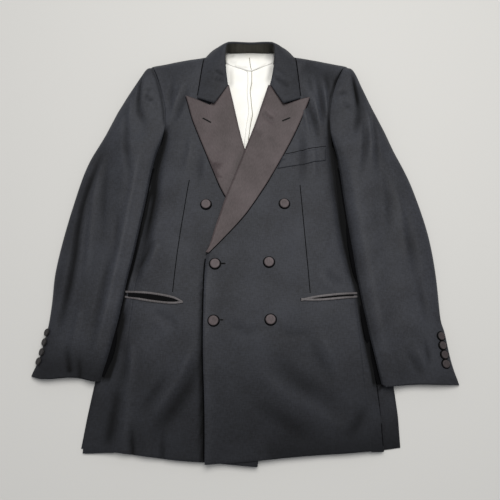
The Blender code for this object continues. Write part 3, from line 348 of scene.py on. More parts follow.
sideShading = {
    **armholeShading,
    "rightArmpit": dusk(7, -0.95, [(165, 124), (164, 136), (161, 148), (156, 163), (153, 178), (152, 190), (149, 200)],
        (0.15, 0.25), flat=True),
    "rightEdge": dusk(3, -0.95, [(150, 188), (144, 216), (136, 248), (129, 274), (123, 300), (120, 316)],
        0.05, flat=True),
    "rightSoft": dusk(7, -0.5, [(156, 172), (153, 196), (149, 216), (144, 236), (139, 254)], (0.3, 0.5)),
    "rightLow": dusk(8.5, -0.97, [(122, 304), (118, 324), (113, 342), (110, 358), (105, 376)], (0.25, 0), flat=True),
    "leftArmpit": dusk(7, -0.9, [(329, 112), (330, 128), (333.5, 148), (337.5, 172), (341, 200)],
        (0.25, 0.1), flat=True),
    "leftEdge": dusk(7, -0.97, [(340, 192), (344.5, 222), (348.5, 245), (354.6, 272), (360, 296), (364, 317),
        (370, 344), (375, 368), (377.5, 384)], (0.05, 0), flat=True),
    "leftGapLow": dusk(8.5, -0.97, [(364, 316), (370.5, 342), (375.5, 364), (379, 384)],
        (0.2, 0), flat=True, height=0.004),
    "leftSoft": dusk(13, -0.38, [(330, 120), (333, 150), (336, 185), (339, 215)]),
    "leftShoulderDusk": dusk(26, -0.42, [(300, 66), (334, 80)], (0.2, 0)),
    "rightShoulderDusk": dusk(20, -0.16, [(166, 76), (196, 66)], (0, 0.2)),
    "leftHemDusk": dusk(34, -0.22, [(262, 462), (330, 456), (394, 446)], (0.1, 0)),
}
sleeveFoldsRight.update(armholeShading)
sleeveFoldsLeft.update(armholeShading)
bodyShape = {**bodyFolds, **sideShading}
# The overlapping front is lifted along its edge; the front beneath dips there and is drawn darker, painted shade under
# that edge
overShape = dict(bodyShape, edgeLift=crease(
    13, 2.4, [(206, 262), (204, 316), (203, 350), (204, 396), (205, 430), (205, 462)], (0.15, 0)))
underShape = dict(bodyShape, underEdge=crease(
    6, -1.6, [(206, 256), (204, 290), (203, 320), (202.5, 350), (203, 396), (204.5, 462)], (0.2, 0), tone=-0.6))
# The lapels share the body's folds only below the picture's row 260
lapelFolds = {key: fold for key, fold in bodyFolds.items() if fold["at"][0][1] > 260}
# On the satin: a painted highlight low on each lapel, painted shade along the roll, and dents
lapelFolds.update({
    "lowGleam": dusk(18, 0.16, [(224, 212), (216, 232), (209, 248)], (0.3, 0)),
    "rollDusk": dusk(6, -0.2, [(243, 150), (236, 168), (226, 190)]),
    "dentUpper": crease(3.5, -1.7, [(261, 114), (267, 120), (276, 126)]),
    "dentUpperRidge": crease(4, 1.2, [(263, 110), (269, 116), (278, 121)]),
    "dentLower": crease(3.2, -1.5, [(252, 130), (257, 134), (264, 138)]),
    "dentMiddle": crease(4, -1, [(266, 136), (272, 142), (276, 150)]),
})
unevenness = [  # waves of a cloth that was never pressed quite flat: length mm, turn, start, height mm
    (96, 0.3, 0.4, 0.32), (71, 1.4, 2.1, 0.26), (53, 2.3, 4.0, 0.20), (39, 0.9, 1.2, 0.13), (31, 2.8, 5.1, 0.09),
]
# How much deeper the folds are drawn, and the painted shade and painted highlight per millimetre of trough and ridge
foldGain = {"depth": 1.65, "hollowTone": 0.12, "ridgeTone": 0.045}
foldShape = {"shoulder": 0.45, "drift": 9}  # the swell beside a trough, and how the waves turn up the cloth


def ease(low, high, value):
    t = np.clip((value - low) / (high - low), 0, 1)
    return t * t * (3 - 2 * t)


def relief(folds, x, y):
    total, tone = np.zeros(len(x)), np.zeros(len(x))
    for length, turn, start, height in unevenness:
        run = 2000 * math.pi / length * (x * math.cos(turn) + y * math.sin(turn))
        total += height / 1000 * np.sin(run + start + foldShape["drift"] * y)
    for fold in folds.values():
        marks = np.array([seen(u, v, fold["height"]) for u, v in fold["at"]])
        spans = np.linalg.norm(np.diff(marks, axis=0), axis=1)
        runs = np.concatenate([[0], np.cumsum(spans)]) / spans.sum()
        near, share = np.full(len(x), np.inf), np.zeros(len(x))
        for k, span in enumerate(spans):
            step = (marks[k + 1] - marks[k]) / span
            along = np.clip((x - marks[k, 0]) * step[0] + (y - marks[k, 1]) * step[1], 0, span)
            gap = np.hypot(x - marks[k, 0] - along * step[0], y - marks[k, 1] - along * step[1])
            closer = gap < near
            near = np.where(closer, gap, near)
            share = np.where(closer, runs[k] + along / span * (runs[k + 1] - runs[k]), share)
        first, last = fold["fade"]
        fade = (ease(0, first, share) if first else 1.0) * (1 - ease(1 - last, 1, share) if last else 1.0)
        wide = (near * 1000 / fold["half"]) ** 2
        depth = fold["depth"] * foldGain["depth"]
        total += depth / 1000 * fade * (1 - foldShape["shoulder"] * wide) * np.exp(-wide)
        wide = wide ** 2 if fold["flat"] else wide
        # painted shade in a trough, painted highlight on a ridge, and the fold's own painted tone
        gain = foldGain["hollowTone" if depth < 0 else "ridgeTone"]
        tone += (fold["tone"] + depth * gain) * fade * np.exp(-wide)
    return total, tone


# Helpers for every piece
def coordinates(mesh, what="co"):
    values = np.empty(len(mesh.vertices) * 3)
    mesh.vertices.foreach_get(what, values)
    return values.reshape(-1, 3)


def placed(name, data):
    made = bpy.data.objects.new(name, data)
    bpy.context.scene.collection.objects.link(made)
    return made


def baked(source, name):
    bpy.context.view_layer.update()
    graph = bpy.context.evaluated_depsgraph_get()
    made = placed(name, bpy.data.meshes.new_from_object(source.evaluated_get(graph)))
    bpy.data.objects.remove(source)
    return made


def camel(nodeName):
    first, *words = nodeName.split("_")
    return first + "".join(word.capitalize() for word in words)


def prepared(made, turn=0.0, tone=None):
    mesh = made.data
    points = coordinates(mesh)
    across = points[:, 0] * math.cos(turn) + points[:, 1] * math.sin(turn)
    along = points[:, 1] * math.cos(turn) - points[:, 0] * math.sin(turn)
    corners = np.empty(len(mesh.loops), dtype=np.int32)
    mesh.loops.foreach_get("vertex_index", corners)
    grain = np.stack([across[corners], along[corners]], axis=1)
    mesh.uv_layers.new(name="grain").data.foreach_set("uv", grain.ravel())
    attribute = mesh.attributes.new("tone", "FLOAT", "POINT")
    if tone is not None:
        attribute.data.foreach_set("value", tone)
    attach(made, "root")


# A cloth piece: the node's wall as smooth quads with its edges and corners kept, then its folds
# Painted shade: the wool is drawn darker down the garment, fully so at the hem
hemDusk = {"amount": 0.52, "between": (-0.12, -0.4)}
smoothing = {"mergeWithin": 0.00001, "edgeAngle": 38, "cornerAngle": 24, "sharpAngle": 50,
             "floorFade": (0.003, 0.012), "toneRange": (-0.97, 0.6), "mostCuts": 5}
rimSlopes = {"under": -0.55, "side": -0.5}  # how far a face beside the lower rim faces down


def isEdge(edge):
    return len(edge.link_faces) == 2 and edge.calc_face_angle() > math.radians(smoothing["edgeAngle"])


def markEdges(work, cornerAngle):
    edgeCrease = work.edges.layers.float.new("crease_edge")
    cornerCrease = work.verts.layers.float.new("crease_vert")
    for edge in work.edges:
        if isEdge(edge):
            edge[edgeCrease] = 1.0
    for vert in work.verts:
        rims = [edge for edge in vert.link_edges if edge[edgeCrease] > 0]
        if len(rims) == 2:
            ends = [(edge.other_vert(vert).co - vert.co).normalized() for edge in rims]
            if ends[0].angle(-ends[1], 0) > math.radians(cornerAngle):
                vert[cornerCrease] = 1.0


def lowerRim(work):
    rims = {}
    for edge in filter(isEdge, work.edges):
        slopes = sorted(face.normal.z for face in edge.link_faces)
        if slopes[0] < rimSlopes["under"] and slopes[1] > rimSlopes["side"]:
            for vert in edge.verts:
                rims.setdefault(vert, []).append(edge.other_vert(vert))
    loops = []
    left = set(rims)
    while left:
        here = min(left, key=lambda vert: (round(vert.co.y, 5), vert.co.x))
        loop = []
        while here in left:
            left.remove(here)
            loop.append(here.co.copy())
            here = next((vert for vert in rims[here] if vert in left), None)
        loops.append(loop)
    return max(loops, key=len, default=[])


def stretch(points, reach):
    aside = np.abs(points[:, 0] - layout["centre"])
    out = ease(*reach["out"], aside)
    if "fall" in reach:
        out *= 1.0 - ease(*reach["fall"], aside)
    points[:, 1] -= (reach["least"] + reach["most"] * out) * ease(*reach["up"], points[:, 1])


def clothFrom(pieceName, nodeName, folds, finish=woolCloth, levels=2, turn=0.0, sink=0.0, reach=(), grow=0.0,
              fineness=0.0, cornerAngle=smoothing["cornerAngle"], shut=None, longer=0.0):
    work = bmesh.new()
    work.from_mesh(nodes[nodeName].data)
    bmesh.ops.remove_doubles(work, verts=work.verts, dist=smoothing["mergeWithin"])
    bmesh.ops.join_triangles(
        work, faces=work.faces[:], angle_face_threshold=math.pi, angle_shape_threshold=math.pi,
        topology_influence=1.5)
    for attempt in range(smoothing["mostCuts"] if fineness else 0):
        coarse = [edge for edge in work.edges if edge.calc_length() > fineness]
        bmesh.ops.subdivide_edges(work, edges=coarse, cuts=1, use_grid_fill=True)
    markEdges(work, cornerAngle)
    rim = np.array(lowerRim(work))
    mesh = bpy.data.meshes.new(pieceName + "Cage")
    work.to_mesh(mesh)
    work.free()
    cage = placed(pieceName + "Cage", mesh)
    smoother = cage.modifiers.new("smoother", "SUBSURF")
    smoother.levels = smoother.render_levels = levels
    made = baked(cage, pieceName)
    points = coordinates(made.data)
    rise, tone = relief(folds, points[:, 0], points[:, 1])
    points[:, 2] += ease(*smoothing["floorFade"], points[:, 2]) * rise
    # painted shade towards the hem
    if finish is woolCloth:
        tone -= hemDusk["amount"] * ease(*hemDusk["between"], points[:, 1])
    if grow:
        points[:, :2] += grow * coordinates(made.data, "normal")[:, :2]
    if shut:
        first, last = (seen(*mark) for mark in shut["line"])
        points[:, 0] += (points[:, 0] - points[:, 0].mean()) * longer
        along = (points[:, 0] - first[0]) / (last[0] - first[0])
        away = points[:, 1] - first[1] - along * (last[1] - first[1])
        points[:, 1] -= (away if longer else away.mean()) * (1 - np.interp(along, *shut["open"]))
    points[:, 2] -= sink
    for pull in reach:
        stretch(points, pull)
        stretch(rim, pull)
    made.data.vertices.foreach_set("co", points.ravel())
    made.data.materials.append(finish)
    made.data.shade_smooth()
    made.data.set_sharp_from_angle(angle=math.radians(smoothing["sharpAngle"]))
    prepared(made, turn, np.clip(tone, *smoothing["toneRange"]))
    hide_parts(nodeName)
    return made, [Vector(p) for p in rim]


# How far each pocket gapes along its line, its sewn ends drawn together
leftPocket = {"line": [(301, 299.5), (357, 294.6)], "open": [(0, 0.15, 0.4, 1), (0.2, 0.45, 0.62, 0.72)]}
rightPocket = {"line": [(126, 294.3), (183, 301.7)], "open": [(0, 0.4, 0.85, 1), (0.85, 1, 0.9, 0.5)]}
# How many metres an edge is drawn down to where the picture has it, by its distance from the centre back
hemCorner = {"least": 0, "most": 0.006, "out": (0.15, 0.225), "fall": (0.228, 0.29), "up": (-0.3, -0.4)}
leafEnds = {"least": 0.0062, "most": 0.001, "out": (0.07, 0.105), "up": (0.335, 0.275)}
neckDip = {"least": 0, "most": 0.0028, "out": (0.068, 0.03), "up": (0.385, 0.405)}
peakLeft = {"least": -0.0015, "most": -0.0038, "out": (0.06, 0.115), "up": (0.225, 0.262)}
peakRight = {"least": -0.0008, "most": -0.0022, "out": (0.06, 0.115), "up": (0.225, 0.262)}
# Each piece's cut, as width, length and area in metres, what it lies on, and how it is shaped and dressed
back = dict(cut=(0.3, 0.83, 0.195), on=[], levels=1, fineness=0.02, folds=sideShading)
cloths = {
    "backLeft": dict(back, reach=[hemCorner]),
    "backRight": back,
    "sideLeft": dict(cut=(0.095, 0.585, 0.027), on=["backLeft"], folds=bodyShape, grow=0.0018),
    "sideRight": dict(cut=(0.1, 0.59, 0.03), on=["backRight"], folds=bodyShape, grow=0.0018),
    "frontLeft": dict(cut=(0.305, 0.825, 0.185), on=["backLeft", "frontRight", "liningLeft"], folds=overShape,
        grow=0.0008),
    "frontRight": dict(cut=(0.3, 0.825, 0.178), on=["backRight", "liningRight"], folds=underShape, grow=0.0008),
    "sleeveTopLeft": dict(cut=(0.23, 0.66, 0.094), on=["sleeveUnderLeft", "sideLeft"], folds=sleeveFoldsLeft,
        turn=-0.26),
    "sleeveTopRight": dict(cut=(0.225, 0.655, 0.091), on=["sleeveUnderRight", "sideRight"], folds=sleeveFoldsRight,
        turn=0.26),
    "sleeveUnderLeft": dict(cut=(0.21, 0.65, 0.074), on=["backLeft"], levels=3, folds=sideShading, turn=-0.26),
    "sleeveUnderRight": dict(cut=(0.205, 0.645, 0.071), on=["backRight"], levels=3, folds=sideShading, turn=0.26),
    "topCollar": dict(cut=(0.4, 0.075, 0.019), on=["collarStand", "frontLeft", "frontRight"], folds=collarFolds,
        sink=0.001, reach=[leafEnds, neckDip]),
    "collarStand": dict(cut=(0.14, 0.045, 0.0044), on=["neckBand"], finish=standCloth, folds=standShading,
        fineness=0.008, reach=[neckDip]),
    "breastWelt": dict(cut=(0.1, 0.03, 0.0027), on=["frontLeft"], folds=bodyShape, sink=0.0009),
    "lapelLeft": dict(cut=(0.12, 0.4, 0.023), on=["frontLeft"], finish=facingSatin, folds=lapelFolds,
        turn=-0.35, reach=[peakLeft]),
    "lapelRight": dict(cut=(0.12, 0.4, 0.023), on=["frontRight"], finish=facingSatin, folds=lapelFolds,
        turn=0.3, reach=[peakRight]),
    "liningLeft": dict(cut=(0.085, 0.27, 0.0172), on=["backLeft"], finish=liningCloth, folds=liningShading, levels=3),
    "liningRight": dict(cut=(0.08, 0.27, 0.0152), on=["backRight"], finish=liningCloth, folds=liningShading, levels=3),
    "neckBand": dict(cut=(0.112, 0.05, 0.004), on=["liningLeft", "liningRight"], finish=liningCloth,
        folds=liningShading, sink=0.0008, cornerAngle=60),
}
leftSlit = dict(on=["frontLeft"], folds=bodyFolds, shut=leftPocket)
rightSlit = dict(on=["frontRight"], folds=bodyFolds, shut=rightPocket)
for level in ("Upper", "Lower"):
    cloths["jet" + level + "Left"] = dict(leftSlit, cut=(0.108, 0.01, 0.0005), finish=pipingSatin)
    cloths["jet" + level + "Right"] = dict(rightSlit, cut=(0.112, 0.01, 0.0006), finish=pipingSatin)
cloths["mouthLeft"] = dict(leftSlit, cut=(0.094, 0.01, 0.0004), finish=pocketCloth, longer=0.1)
cloths["mouthRight"] = dict(rightSlit, cut=(0.1, 0.017, 0.0008), finish=pocketCloth, longer=0.12)
nodeNames = {camel(nodeName): nodeName for nodeName in nodes}
nodeNames.update({"topCollar": "collar", "mouthLeft": "pocket_mouth_left", "mouthRight": "pocket_mouth_right"})
for pieceName, piece in cloths.items():
    shaping = {key: value for key, value in piece.items() if key not in ("cut", "on")}
    piece["made"], piece["outline"] = clothFrom(pieceName, nodeNames[pieceName], **shaping)
    print("cloth", pieceName, len(piece["made"].data.polygons), "faces")

# Covered buttons: a satin circle drawn over a domed shell and gathered behind it
# Painted light on the buttons: each ring of the outline has a tone, lighter inside the rim and painted shade over the
# rim and underneath, and each place is dimmed as painted shade
button = {"sides": 40, "gathers": 26, "gatherDepth": 0.03, "gatheredBelow": 0.3, "darkest": -0.95,
          "dim": {"front": 0.2, "cuff_left": 0.6, "cuff_right": 0.88}}  # how much less daylight each place gets
buttonOutline = [  # from the crown out over the rim and in again: share of the radius, share of the height, tone
    (0, 0.97, -0.04), (0.25, 0.975, -0.04), (0.50, 0.985, -0.04), (0.68, 1, 0.05), (0.80, 0.99, 0.05),
    (0.88, 0.96, 0.05), (0.92, 0.90, -0.45), (0.96, 0.80, -0.88), (0.99, 0.64, -0.88), (1, 0.48, -0.88),
    (0.975, 0.32, -0.88), (0.90, 0.19, -0.88), (0.76, 0.09, -0.88), (0.50, 0.03, -0.88), (0.28, 0, -0.88),
    (0, 0, -0.88),
]


# A button's axis is the direction in which its points spread least
def buttonAxis(points, centre):
    away = points - centre
    thin = np.linalg.eigh(np.cov(away.T))[1][:, 0]
    axis = Vector(thin)
    radius = np.linalg.norm(away - np.outer(away @ thin, thin), axis=1).max()
    outwards = Vector((0, 0, 1))
    if abs(axis.z) < 0.5:  # it stands on edge at a sleeve's side, so it faces away from the body
        outwards = Vector((math.copysign(1.0, centre[0]), 0.0, 0.3))
    return (axis if axis.dot(outwards) >= 0 else -axis), radius


def coveredButton(nodeName, pieceName):
    points = coordinates(nodes[nodeName].data)
    centre = points.mean(axis=0)
    out, radius = buttonAxis(points, centre)
    heights = (points - centre) @ np.array(out)
    low, high = heights.min(), heights.max()
    side = out.orthogonal().normalized()
    other = out.cross(side)
    angles = [2 * math.pi * k / button["sides"] for k in range(button["sides"])]
    dim = next(share for part, share in button["dim"].items() if part in nodeName)
    work = bmesh.new()
    rings, tones = [], []
    for reach, rise, tone in buttonOutline:
        ring = []
        for angle in angles if reach else [0.0]:
            gather = button["gatherDepth"] * (0.5 + 0.5 * math.cos(button["gathers"] * angle))
            pull = 1.0 - gather * max(0.0, button["gatheredBelow"] - rise) / button["gatheredBelow"]
            spot = side * math.cos(angle) + other * math.sin(angle)
            ring.append(work.verts.new(
                Vector(centre) + spot * (radius * reach * pull) + out * (low + rise * (high - low))))
        rings.append(ring)
        # painted light: the ring's tone, darkened by the painted shade of its place
        tones.extend([max(button["darkest"], (1 + tone) * (1 - dim) - 1)] * len(ring))
    for inner, outer in zip(rings, rings[1:]):
        for k in range(button["sides"]):
            after = (k + 1) % button["sides"]
            corners = [inner[k % len(inner)], outer[k % len(outer)], outer[after % len(outer)],
                       inner[after % len(inner)]]
            work.faces.new(list(dict.fromkeys(corners)))
    bmesh.ops.recalc_face_normals(work, faces=work.faces)
    made = placed(pieceName, bpy.data.meshes.new(pieceName))
    work.to_mesh(made.data)
    work.free()
    made.data.materials.append(buttonSatin)
    made.data.shade_smooth()
    prepared(made, tone=tones)
    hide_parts(nodeName)


for pieceName, nodeName in nodeNames.items():
    if pieceName.startswith("button"):
        coveredButton(nodeName, pieceName)
print("covered buttons made")


# What the trims lie on: the highest cloth straight below a point
def topOf(*pieceNames):
    points, faces = [], []
    for pieceName in pieceNames:
        mesh = cloths[pieceName]["made"].data
        first = len(points)
        points.extend(vert.co.copy() for vert in mesh.vertices)
        faces.extend([first + k for k in face.vertices] for face in mesh.polygons)
    return BVHTree.FromPolygons(points, faces)


def landed(tree, x, y, fallback=0.02):
    hit = tree.ray_cast(Vector((x, y, 0.2)), Vector((0, 0, -1)))  # from well above
    return hit[0].z if hit[0] else fallback


def evened(points, step):
    gaps = [(b - a).length for a, b in zip(points, points[1:])]
    count = max(2, round(sum(gaps) / step))
    places = np.linspace(0, sum(gaps), count + 1)
    marks = np.concatenate([[0], np.cumsum(gaps)])
    return [Vector([np.interp(place, marks, [point[k] for point in points]) for k in range(3)]) for place in places]


def onCloth(tree, marks, step=0.003, above=0.0):
    flat = []
    for u, v in marks:
        height = 0.02
        for attempt in range(3):  # the picture's ray meets the cloth a little nearer each time
            x, y = seen(u, v, height)
            height = landed(tree, x, y)
        flat.append(Vector((x, y, 0)))
    return [Vector((p.x, p.y, landed(tree, p.x, p.y) + above)) for p in evened(flat, step)]


bodyTop = topOf("frontLeft", "frontRight", "sideLeft", "sideRight")
lapelTop = topOf("lapelLeft", "lapelRight")
liningTop = topOf("liningLeft", "liningRight", "neckBand")
ventTop = topOf("sideLeft", "sideRight", "backLeft", "backRight")
sleeveTop = topOf("sleeveTopLeft")


# Both trims follow a path resampled at the first of their sizes, and end smooth, real and in their finish
def startTree(name, sizes):
    tree = bpy.data.node_groups.new(name, "GeometryNodeTree")
    for way in ("INPUT", "OUTPUT"):
        tree.interface.new_socket("Geometry", in_out=way, socket_type="NodeSocketGeometry")
    for size in sizes:
        tree.interface.new_socket(size, in_out="INPUT", socket_type="NodeSocketFloat")
    tree.interface.new_socket("Finish", in_out="INPUT", socket_type="NodeSocketMaterial")
    given = addNode(tree, "NodeGroupInput").outputs
    line = addNode(tree, "GeometryNodeMeshToCurve", {"Mesh": given["Geometry"]})
    even = addNode(tree, "GeometryNodeResampleCurve", {
        "mode": "LENGTH", "Curve": line, "Length": given[sizes[0]]})
    return tree, given, even


def endTree(tree, given, geometry):
    real = addNode(tree, "GeometryNodeRealizeInstances", {"Geometry": geometry})
    smooth = addNode(tree, "GeometryNodeSetShadeSmooth", {"Geometry": real})
    finish = addNode(tree, "GeometryNodeSetMaterial", {"Geometry": smooth, "Material": given["Finish"]})
    addNode(tree, "NodeGroupOutput", {"Geometry": finish})
    return tree


# A cord swept along its path: a round or flat section closed at its ends, thinner towards them by its taper
def sweepTree():
    tree, given, path = startTree("sweptTrim", ["Step", "Width", "Height", "Taper"])
    upright = addNode(tree, "GeometryNodeSetCurveNormal", {"mode": "Z_UP", "Curve": path})
    ring = addNode(tree, "GeometryNodeCurvePrimitiveCircle", {"Resolution": 8, "Radius": 0.5})
    shape = addNode(tree, "ShaderNodeCombineXYZ", {"X": given["Width"], "Y": given["Height"], "Z": 1.0})
    section = addNode(tree, "GeometryNodeTransform", {"Geometry": ring, "Scale": shape})
    along = addNode(tree, "GeometryNodeSplineParameter")
    fromMiddle = addNode(tree, "ShaderNodeMath", {"operation": "MULTIPLY_ADD", 0: along, 1: 2.0, 2: -1.0})
    nearEnd = addNode(tree, "ShaderNodeMath", {"operation": "MULTIPLY", 0: fromMiddle, 1: fromMiddle})
    thinner = addNode(tree, "ShaderNodeMath", {"operation": "MULTIPLY", 0: nearEnd, 1: given["Taper"]})
    girth = addNode(tree, "ShaderNodeMath", {"operation": "SUBTRACT", 0: 1.0, 1: thinner})
    swept = addNode(tree, "GeometryNodeCurveToMesh", {
        "Fill Caps": True, "Curve": upright, "Profile Curve": section, "Scale": girth})
    return endTree(tree, given, swept)


# Stitches set along a path: each a short round of thread, turned across or along its line
def stitchTree():
    tree, given, path = startTree("stitchRow", ["Spacing", "Length", "Thickness", "Turn", "Unevenness"])
    facing = addNode(tree, "FunctionNodeAlignRotationToVector", {
        "axis": "X", "Vector": addNode(tree, "GeometryNodeInputTangent")})
    most = given["Unevenness"]
    least = addNode(tree, "ShaderNodeMath", {"operation": "MULTIPLY", 0: most, 1: -1.0})
    uneven = addNode(tree, "FunctionNodeRandomValue", {"data_type": "FLOAT", "Seed": 7, 2: least, 3: most})
    swing = addNode(tree, "ShaderNodeMath", {"operation": "ADD", 0: uneven.outputs[1], 1: given["Turn"]})
    aside = addNode(tree, "ShaderNodeCombineXYZ", {"Z": swing})
    turned = addNode(tree, "FunctionNodeRotateRotation", {
        "rotation_space": "LOCAL", "Rotation": facing, "Rotate By": aside})
    bead = addNode(tree, "GeometryNodeMeshUVSphere", {"Segments": 8, "Rings": 5, "Radius": 0.5})
    size = addNode(tree, "ShaderNodeCombineXYZ", {
        "X": given["Length"], "Y": given["Thickness"], "Z": given["Thickness"]})
    thread = addNode(tree, "GeometryNodeTransform", {"Geometry": bead, "Scale": size})
    rows = addNode(tree, "GeometryNodeInstanceOnPoints", {
        "Points": path, "Instance": thread, "Rotation": turned})
    return endTree(tree, given, rows)


trees = {"sweep": sweepTree(), "stitch": stitchTree()}


def trim(pieceName, treeName, run, sizes, finish):
    mesh = bpy.data.meshes.new(pieceName + "Path")
    mesh.from_pydata(run, [(k, k + 1) for k in range(len(run) - 1)], [])
    path = placed(pieceName + "Path", mesh)
    modifier = path.modifiers.new("trim", "NODES")
    modifier.node_group = trees[treeName]
    values = dict(sizes, Finish=finish)
    for item in trees[treeName].interface.items_tree:
        if item.in_out == "INPUT" and item.name in values:
            modifier[item.identifier] = values[item.name]
    made = baked(path, pieceName)
    prepared(made)
    print("trim", pieceName, len(made.data.polygons), "faces")


def sweep(pieceName, run, width, height, step, finish=seamShade, taper=0.0):
    trim(pieceName, "sweep", run, {"Width": width, "Height": height, "Step": step, "Taper": taper}, finish)


# Lines on the cloth, their size as width, height and step: the darts' pressed seams, the welt's mouth and
# seam, the tack at a pocket's end, the pleat that gives the lining its ease, and the edge of the side vent.
# Each is a dark cord, which also carries the painted shadow in the seam, mouth, pleat and edge
fineLines = {
    "dartRight": {"at": [(189.3, 180), (186, 198), (183, 216), (180, 234), (177, 254), (174.5, 274), (172.6, 292)],
        "size": (0.0016, 0.0007, 0.004)},
    "dartLeft": {"at": [(300, 185), (301.8, 203), (303.6, 222), (305.6, 243), (307.4, 262), (309, 279),
        (310.2, 293)], "size": (0.0016, 0.0007, 0.004)},
    "weltMouth": {"at": [(285.5, 153.8), (294, 152.3), (301, 150.6), (307, 148.9), (316, 147.4), (326, 146.2)],
        "size": (0.0014, 0.0006, 0.003)},
    "weltSeam": {"at": [(278.5, 168.2), (290, 165.6), (306.7, 162.8), (316, 161), (326, 159.2)],
        "size": (0.0012, 0.0006, 0.003)},
    "pocketTick": {"at": [(300.5, 298), (300.7, 299.7), (300.9, 301.5)], "size": (0.001, 0.0006, 0.003)},
    "liningPleat": {"at": [(249.4, 57.8), (250, 63), (250.6, 67.2), (251.7, 70.8), (251.8, 77), (251.7, 84),
        (250.5, 88), (250.2, 93), (251, 98.5), (251.3, 104), (252, 109.5), (252.6, 115),
        (251.3, 120.5), (250.5, 125), (249.5, 132), (248.3, 140)],
        "on": liningTop, "size": (0.0013, 0.0006, 0.003), "finish": liningShade},
    "ventEdgeLeft": {"at": [(377, 386), (378.6, 399), (380.2, 413), (381.8, 430), (383.2, 446)],
        "on": ventTop, "size": (0.0015, 0.0016, 0.004)},
}
for pieceName, line in fineLines.items():
    sweep(pieceName, onCloth(line.get("on", bodyTop), line["at"]), *line["size"], line.get("finish", seamShade))

# Where one cloth's edge stands off the cloth below it, a near-black strip lies on the lower cloth along the
# edge: a painted shadow. The search starts inside the upper cloth, at u and v in the picture, and goes
# outwards. Without names it is a sleeve's edge.
edgeSearch = {"height": 0.022, "marks": 50, "step": 0.0004, "off": 0.0008, "lift": 0.0003, "evenedOver": 9,
              "pathStep": 0.004}
edgeShades = {
    "frontEdgeShade": dict(over="frontLeft", under=["frontRight"], u=(212, 212), v=(258, 460), way=-1,
        size=(0.0042, 0.0014), lift=0.0004),
    "sleeveShadeLeft": dict(u=(344, 387), v=(165, 381), way=-1, size=(0.0034, 0.0014)),
    "sleeveGapLeft": dict(u=(355, 368), v=(218, 284), way=-1, size=(0.013, 0.0016), taper=0.8),
    "sleeveGapLowLeft": dict(u=(372, 387), v=(304, 383), way=-1, size=(0.018, 0.0016), lift=0.001, taper=0.3),
    "sleeveShadeRight": dict(u=(146, 92), v=(165, 376), way=1, size=(0.0034, 0.0014)),
    "sleeveGapRight": dict(u=(130, 112), v=(226, 302), way=1, size=(0.008, 0.0016), taper=0.7),
    "sleeveGapLowRight": dict(u=(104, 92), v=(330, 376), way=1, size=(0.015, 0.0016), taper=0.6),
    "collarShadeLeft": dict(over="topCollar", under=["frontLeft"], u=(288, 294), v=(58.5, 97), way=1,
        size=(0.003, 0.0012), lift=0.0002),
    "collarShadeRight": dict(over="topCollar", under=["frontRight"], u=(211, 203), v=(59, 97), way=-1,
        size=(0.003, 0.0012), lift=0.0002),
}
for pieceName, shade in edgeShades.items():
    side = "Left" if "Left" in pieceName else "Right"
    beside = [part + side for part in ("front", "side", "back", "sleeveUnder")]
    overTop, underTop = topOf(shade.get("over", "sleeveTop" + side)), topOf(*shade.get("under", beside))
    step = edgeSearch["step"] * shade["way"]
    run = []
    for share in np.linspace(0, 1, edgeSearch["marks"]):
        u, v = (np.interp(share, (0, 1), shade[key]) for key in ("u", "v"))
        x, y = seen(u, v, edgeSearch["height"])
        while landed(overTop, x, y, -1.0) > 0:
            x += step
        x += edgeSearch["off"] * shade["way"]
        run.append(Vector((x, y, landed(underTop, x + step, y) + shade.get("lift", edgeSearch["lift"]))))
    wide = edgeSearch["evenedOver"]
    heights = np.convolve(np.pad([p.z for p in run], wide // 2, mode="edge"), np.full(wide, 1 / wide), mode="valid")
    run = [Vector((p.x, p.y, max(p.z, height))) for p, height in zip(run, heights)]
    sweep(pieceName, run, *shade["size"], edgeSearch["pathStep"], taper=shade.get("taper", 0.0))

# Painted shadow round each button: a flat near-black ring laid on the cloth at the button's edge
buttonSeat = {"out": 1.06, "sides": 32, "below": 0.002, "size": (0.0034, 0.0009, 0.0016)}
shadowedButtons = {"button_front_" + str(k): bodyTop for k in range(1, 7)}
shadowedButtons.update({"button_cuff_left_" + str(k): sleeveTop for k in range(1, 5)})
for nodeName, under in shadowedButtons.items():
    low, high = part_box(nodeName)
    middle = (Vector(low) + Vector(high)) / 2
    reach = [(high[k] - low[k]) / 2 * buttonSeat["out"] for k in (0, 1)]
    ring = []
    for k in range(buttonSeat["sides"] + 1):
        angle = 2 * math.pi * k / buttonSeat["sides"]
        x, y = middle.x + reach[0] * math.cos(angle), middle.y + reach[1] * math.sin(angle)
        ring.append(Vector((x, y, landed(under, x, y, middle.z - buttonSeat["below"]))))
    sweep(camel(nodeName).replace("button", "buttonSeat"), ring, *buttonSeat["size"])
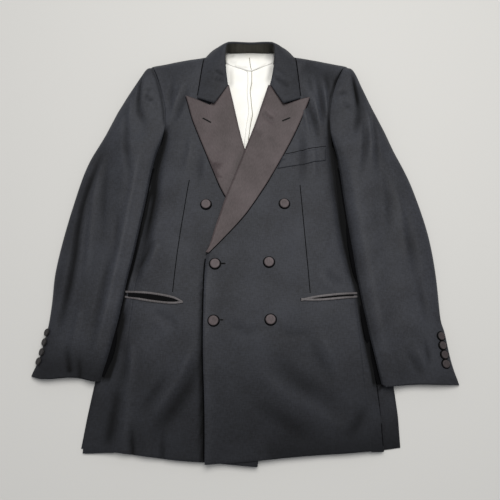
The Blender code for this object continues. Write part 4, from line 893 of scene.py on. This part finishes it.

# Buttonholes: a slit edged with close stitches of silk twist; the slit is a near-black cord, painted shadow
# inside the opening
slits = {
    "lapelHoleRight": {"from": (203.0, 118.2), "to": (210.6, 122.3), "on": lapelTop},
    "lapelHoleLeft": {"from": (282.6, 120.8), "to": (289.8, 117.8), "on": lapelTop},
    "buttonholeUpper": {"from": (218.5, 263.4), "to": (225, 263.4)},
    "buttonholeLower": {"from": (216.8, 319.8), "to": (223, 319.8)},
}
slitSize = (0.0016, 0.001, 0.002)
slitRim = {"away": 0.0011, "above": 0.0001}
stitch = {"Spacing": 0.00055, "Length": 0.0016, "Thickness": 0.0005, "Turn": math.pi / 2, "Unevenness": 0.15}
for pieceName, slit in slits.items():
    core = onCloth(slit.get("on", bodyTop), [slit["from"], slit["to"]], slitSize[2], slitRim["above"])
    sweep(pieceName + "Slit", core, *slitSize)
    ends = (core[-1] - core[0]).normalized() * slitRim["away"]
    aside = Vector((-ends.y, ends.x, 0))
    ring = [p + aside for p in core] + [core[-1] + ends] + [p - aside for p in reversed(core)]
    ring += [core[0] - ends, core[0] + aside]
    trim(pieceName + "Stitches", "stitch", ring, stitch, blackTwist)

# The wool underside of each lapel's turned edge shows as a fine dark line beneath the satin; drawn near-black,
# the line also carries the painted shadow under the lapel's edge
turnedEdge = {"sink": 0.0003, "size": (0.0028, 0.0008, 0.004)}
for side in ("Left", "Right"):
    outline = cloths["lapel" + side]["outline"]
    run = evened([p - Vector((0, 0, turnedEdge["sink"])) for p in outline + outline[:1]], turnedEdge["size"][2])
    sweep("lapelEdge" + side, run, *turnedEdge["size"])
print("trims made")

# Floor, light and camera
stage = {"colour": "#cccbc9", "roughness": 0.6, "size": 6, "below": 0.0002}
half = stage["size"] / 2
floorMesh = bpy.data.meshes.new("floor")
floorMesh.from_pydata([(-half, -half, 0), (half, -half, 0), (half, half, 0), (-half, half, 0)], [], [(0, 1, 2, 3)])
floor = placed("floor", floorMesh)
floor.location.z = -stage["below"]
floorMesh.materials.append(startMaterial("painted pale floor", {
    "Roughness": stage["roughness"], "Base Color": linear(stage["colour"])})[0])

window = {"at": Vector((0.22, 0.92, 2.4)), "size": 1.8, "watts": 54, "colour": "#fffdf8"}  # it faces the jacket
light = bpy.data.lights.new("window", "AREA")
light.size = window["size"]
light.energy = window["watts"]
light.color = linear(window["colour"])[:3]
lamp = placed("window", light)
lamp.location = window["at"]
lamp.rotation_euler = (-window["at"]).to_track_quat("-Z", "Y").to_euler()

room = {"colour": "#f4f6f8", "strength": 0.46}
world = bpy.data.worlds.new("room")
bpy.context.scene.world = world
world.use_nodes = True
background = world.node_tree.nodes["Background"].inputs
background["Color"].default_value = linear(room["colour"])
background["Strength"].default_value = room["strength"]
bpy.context.scene.view_settings.view_transform = "Standard"

# Camera: above the lower part of the jacket, tipped towards the collar
lens = bpy.data.cameras.new("camera")
lens.sensor_width = 36.0
lens.lens = focalLength / pictureSize * lens.sensor_width
camera = placed("camera", lens)
camera.location = eye
camera.rotation_euler = lookAlong.to_track_quat("-Z", "Y").to_euler()
bpy.context.scene.camera = camera
print("stage, lights and camera set")
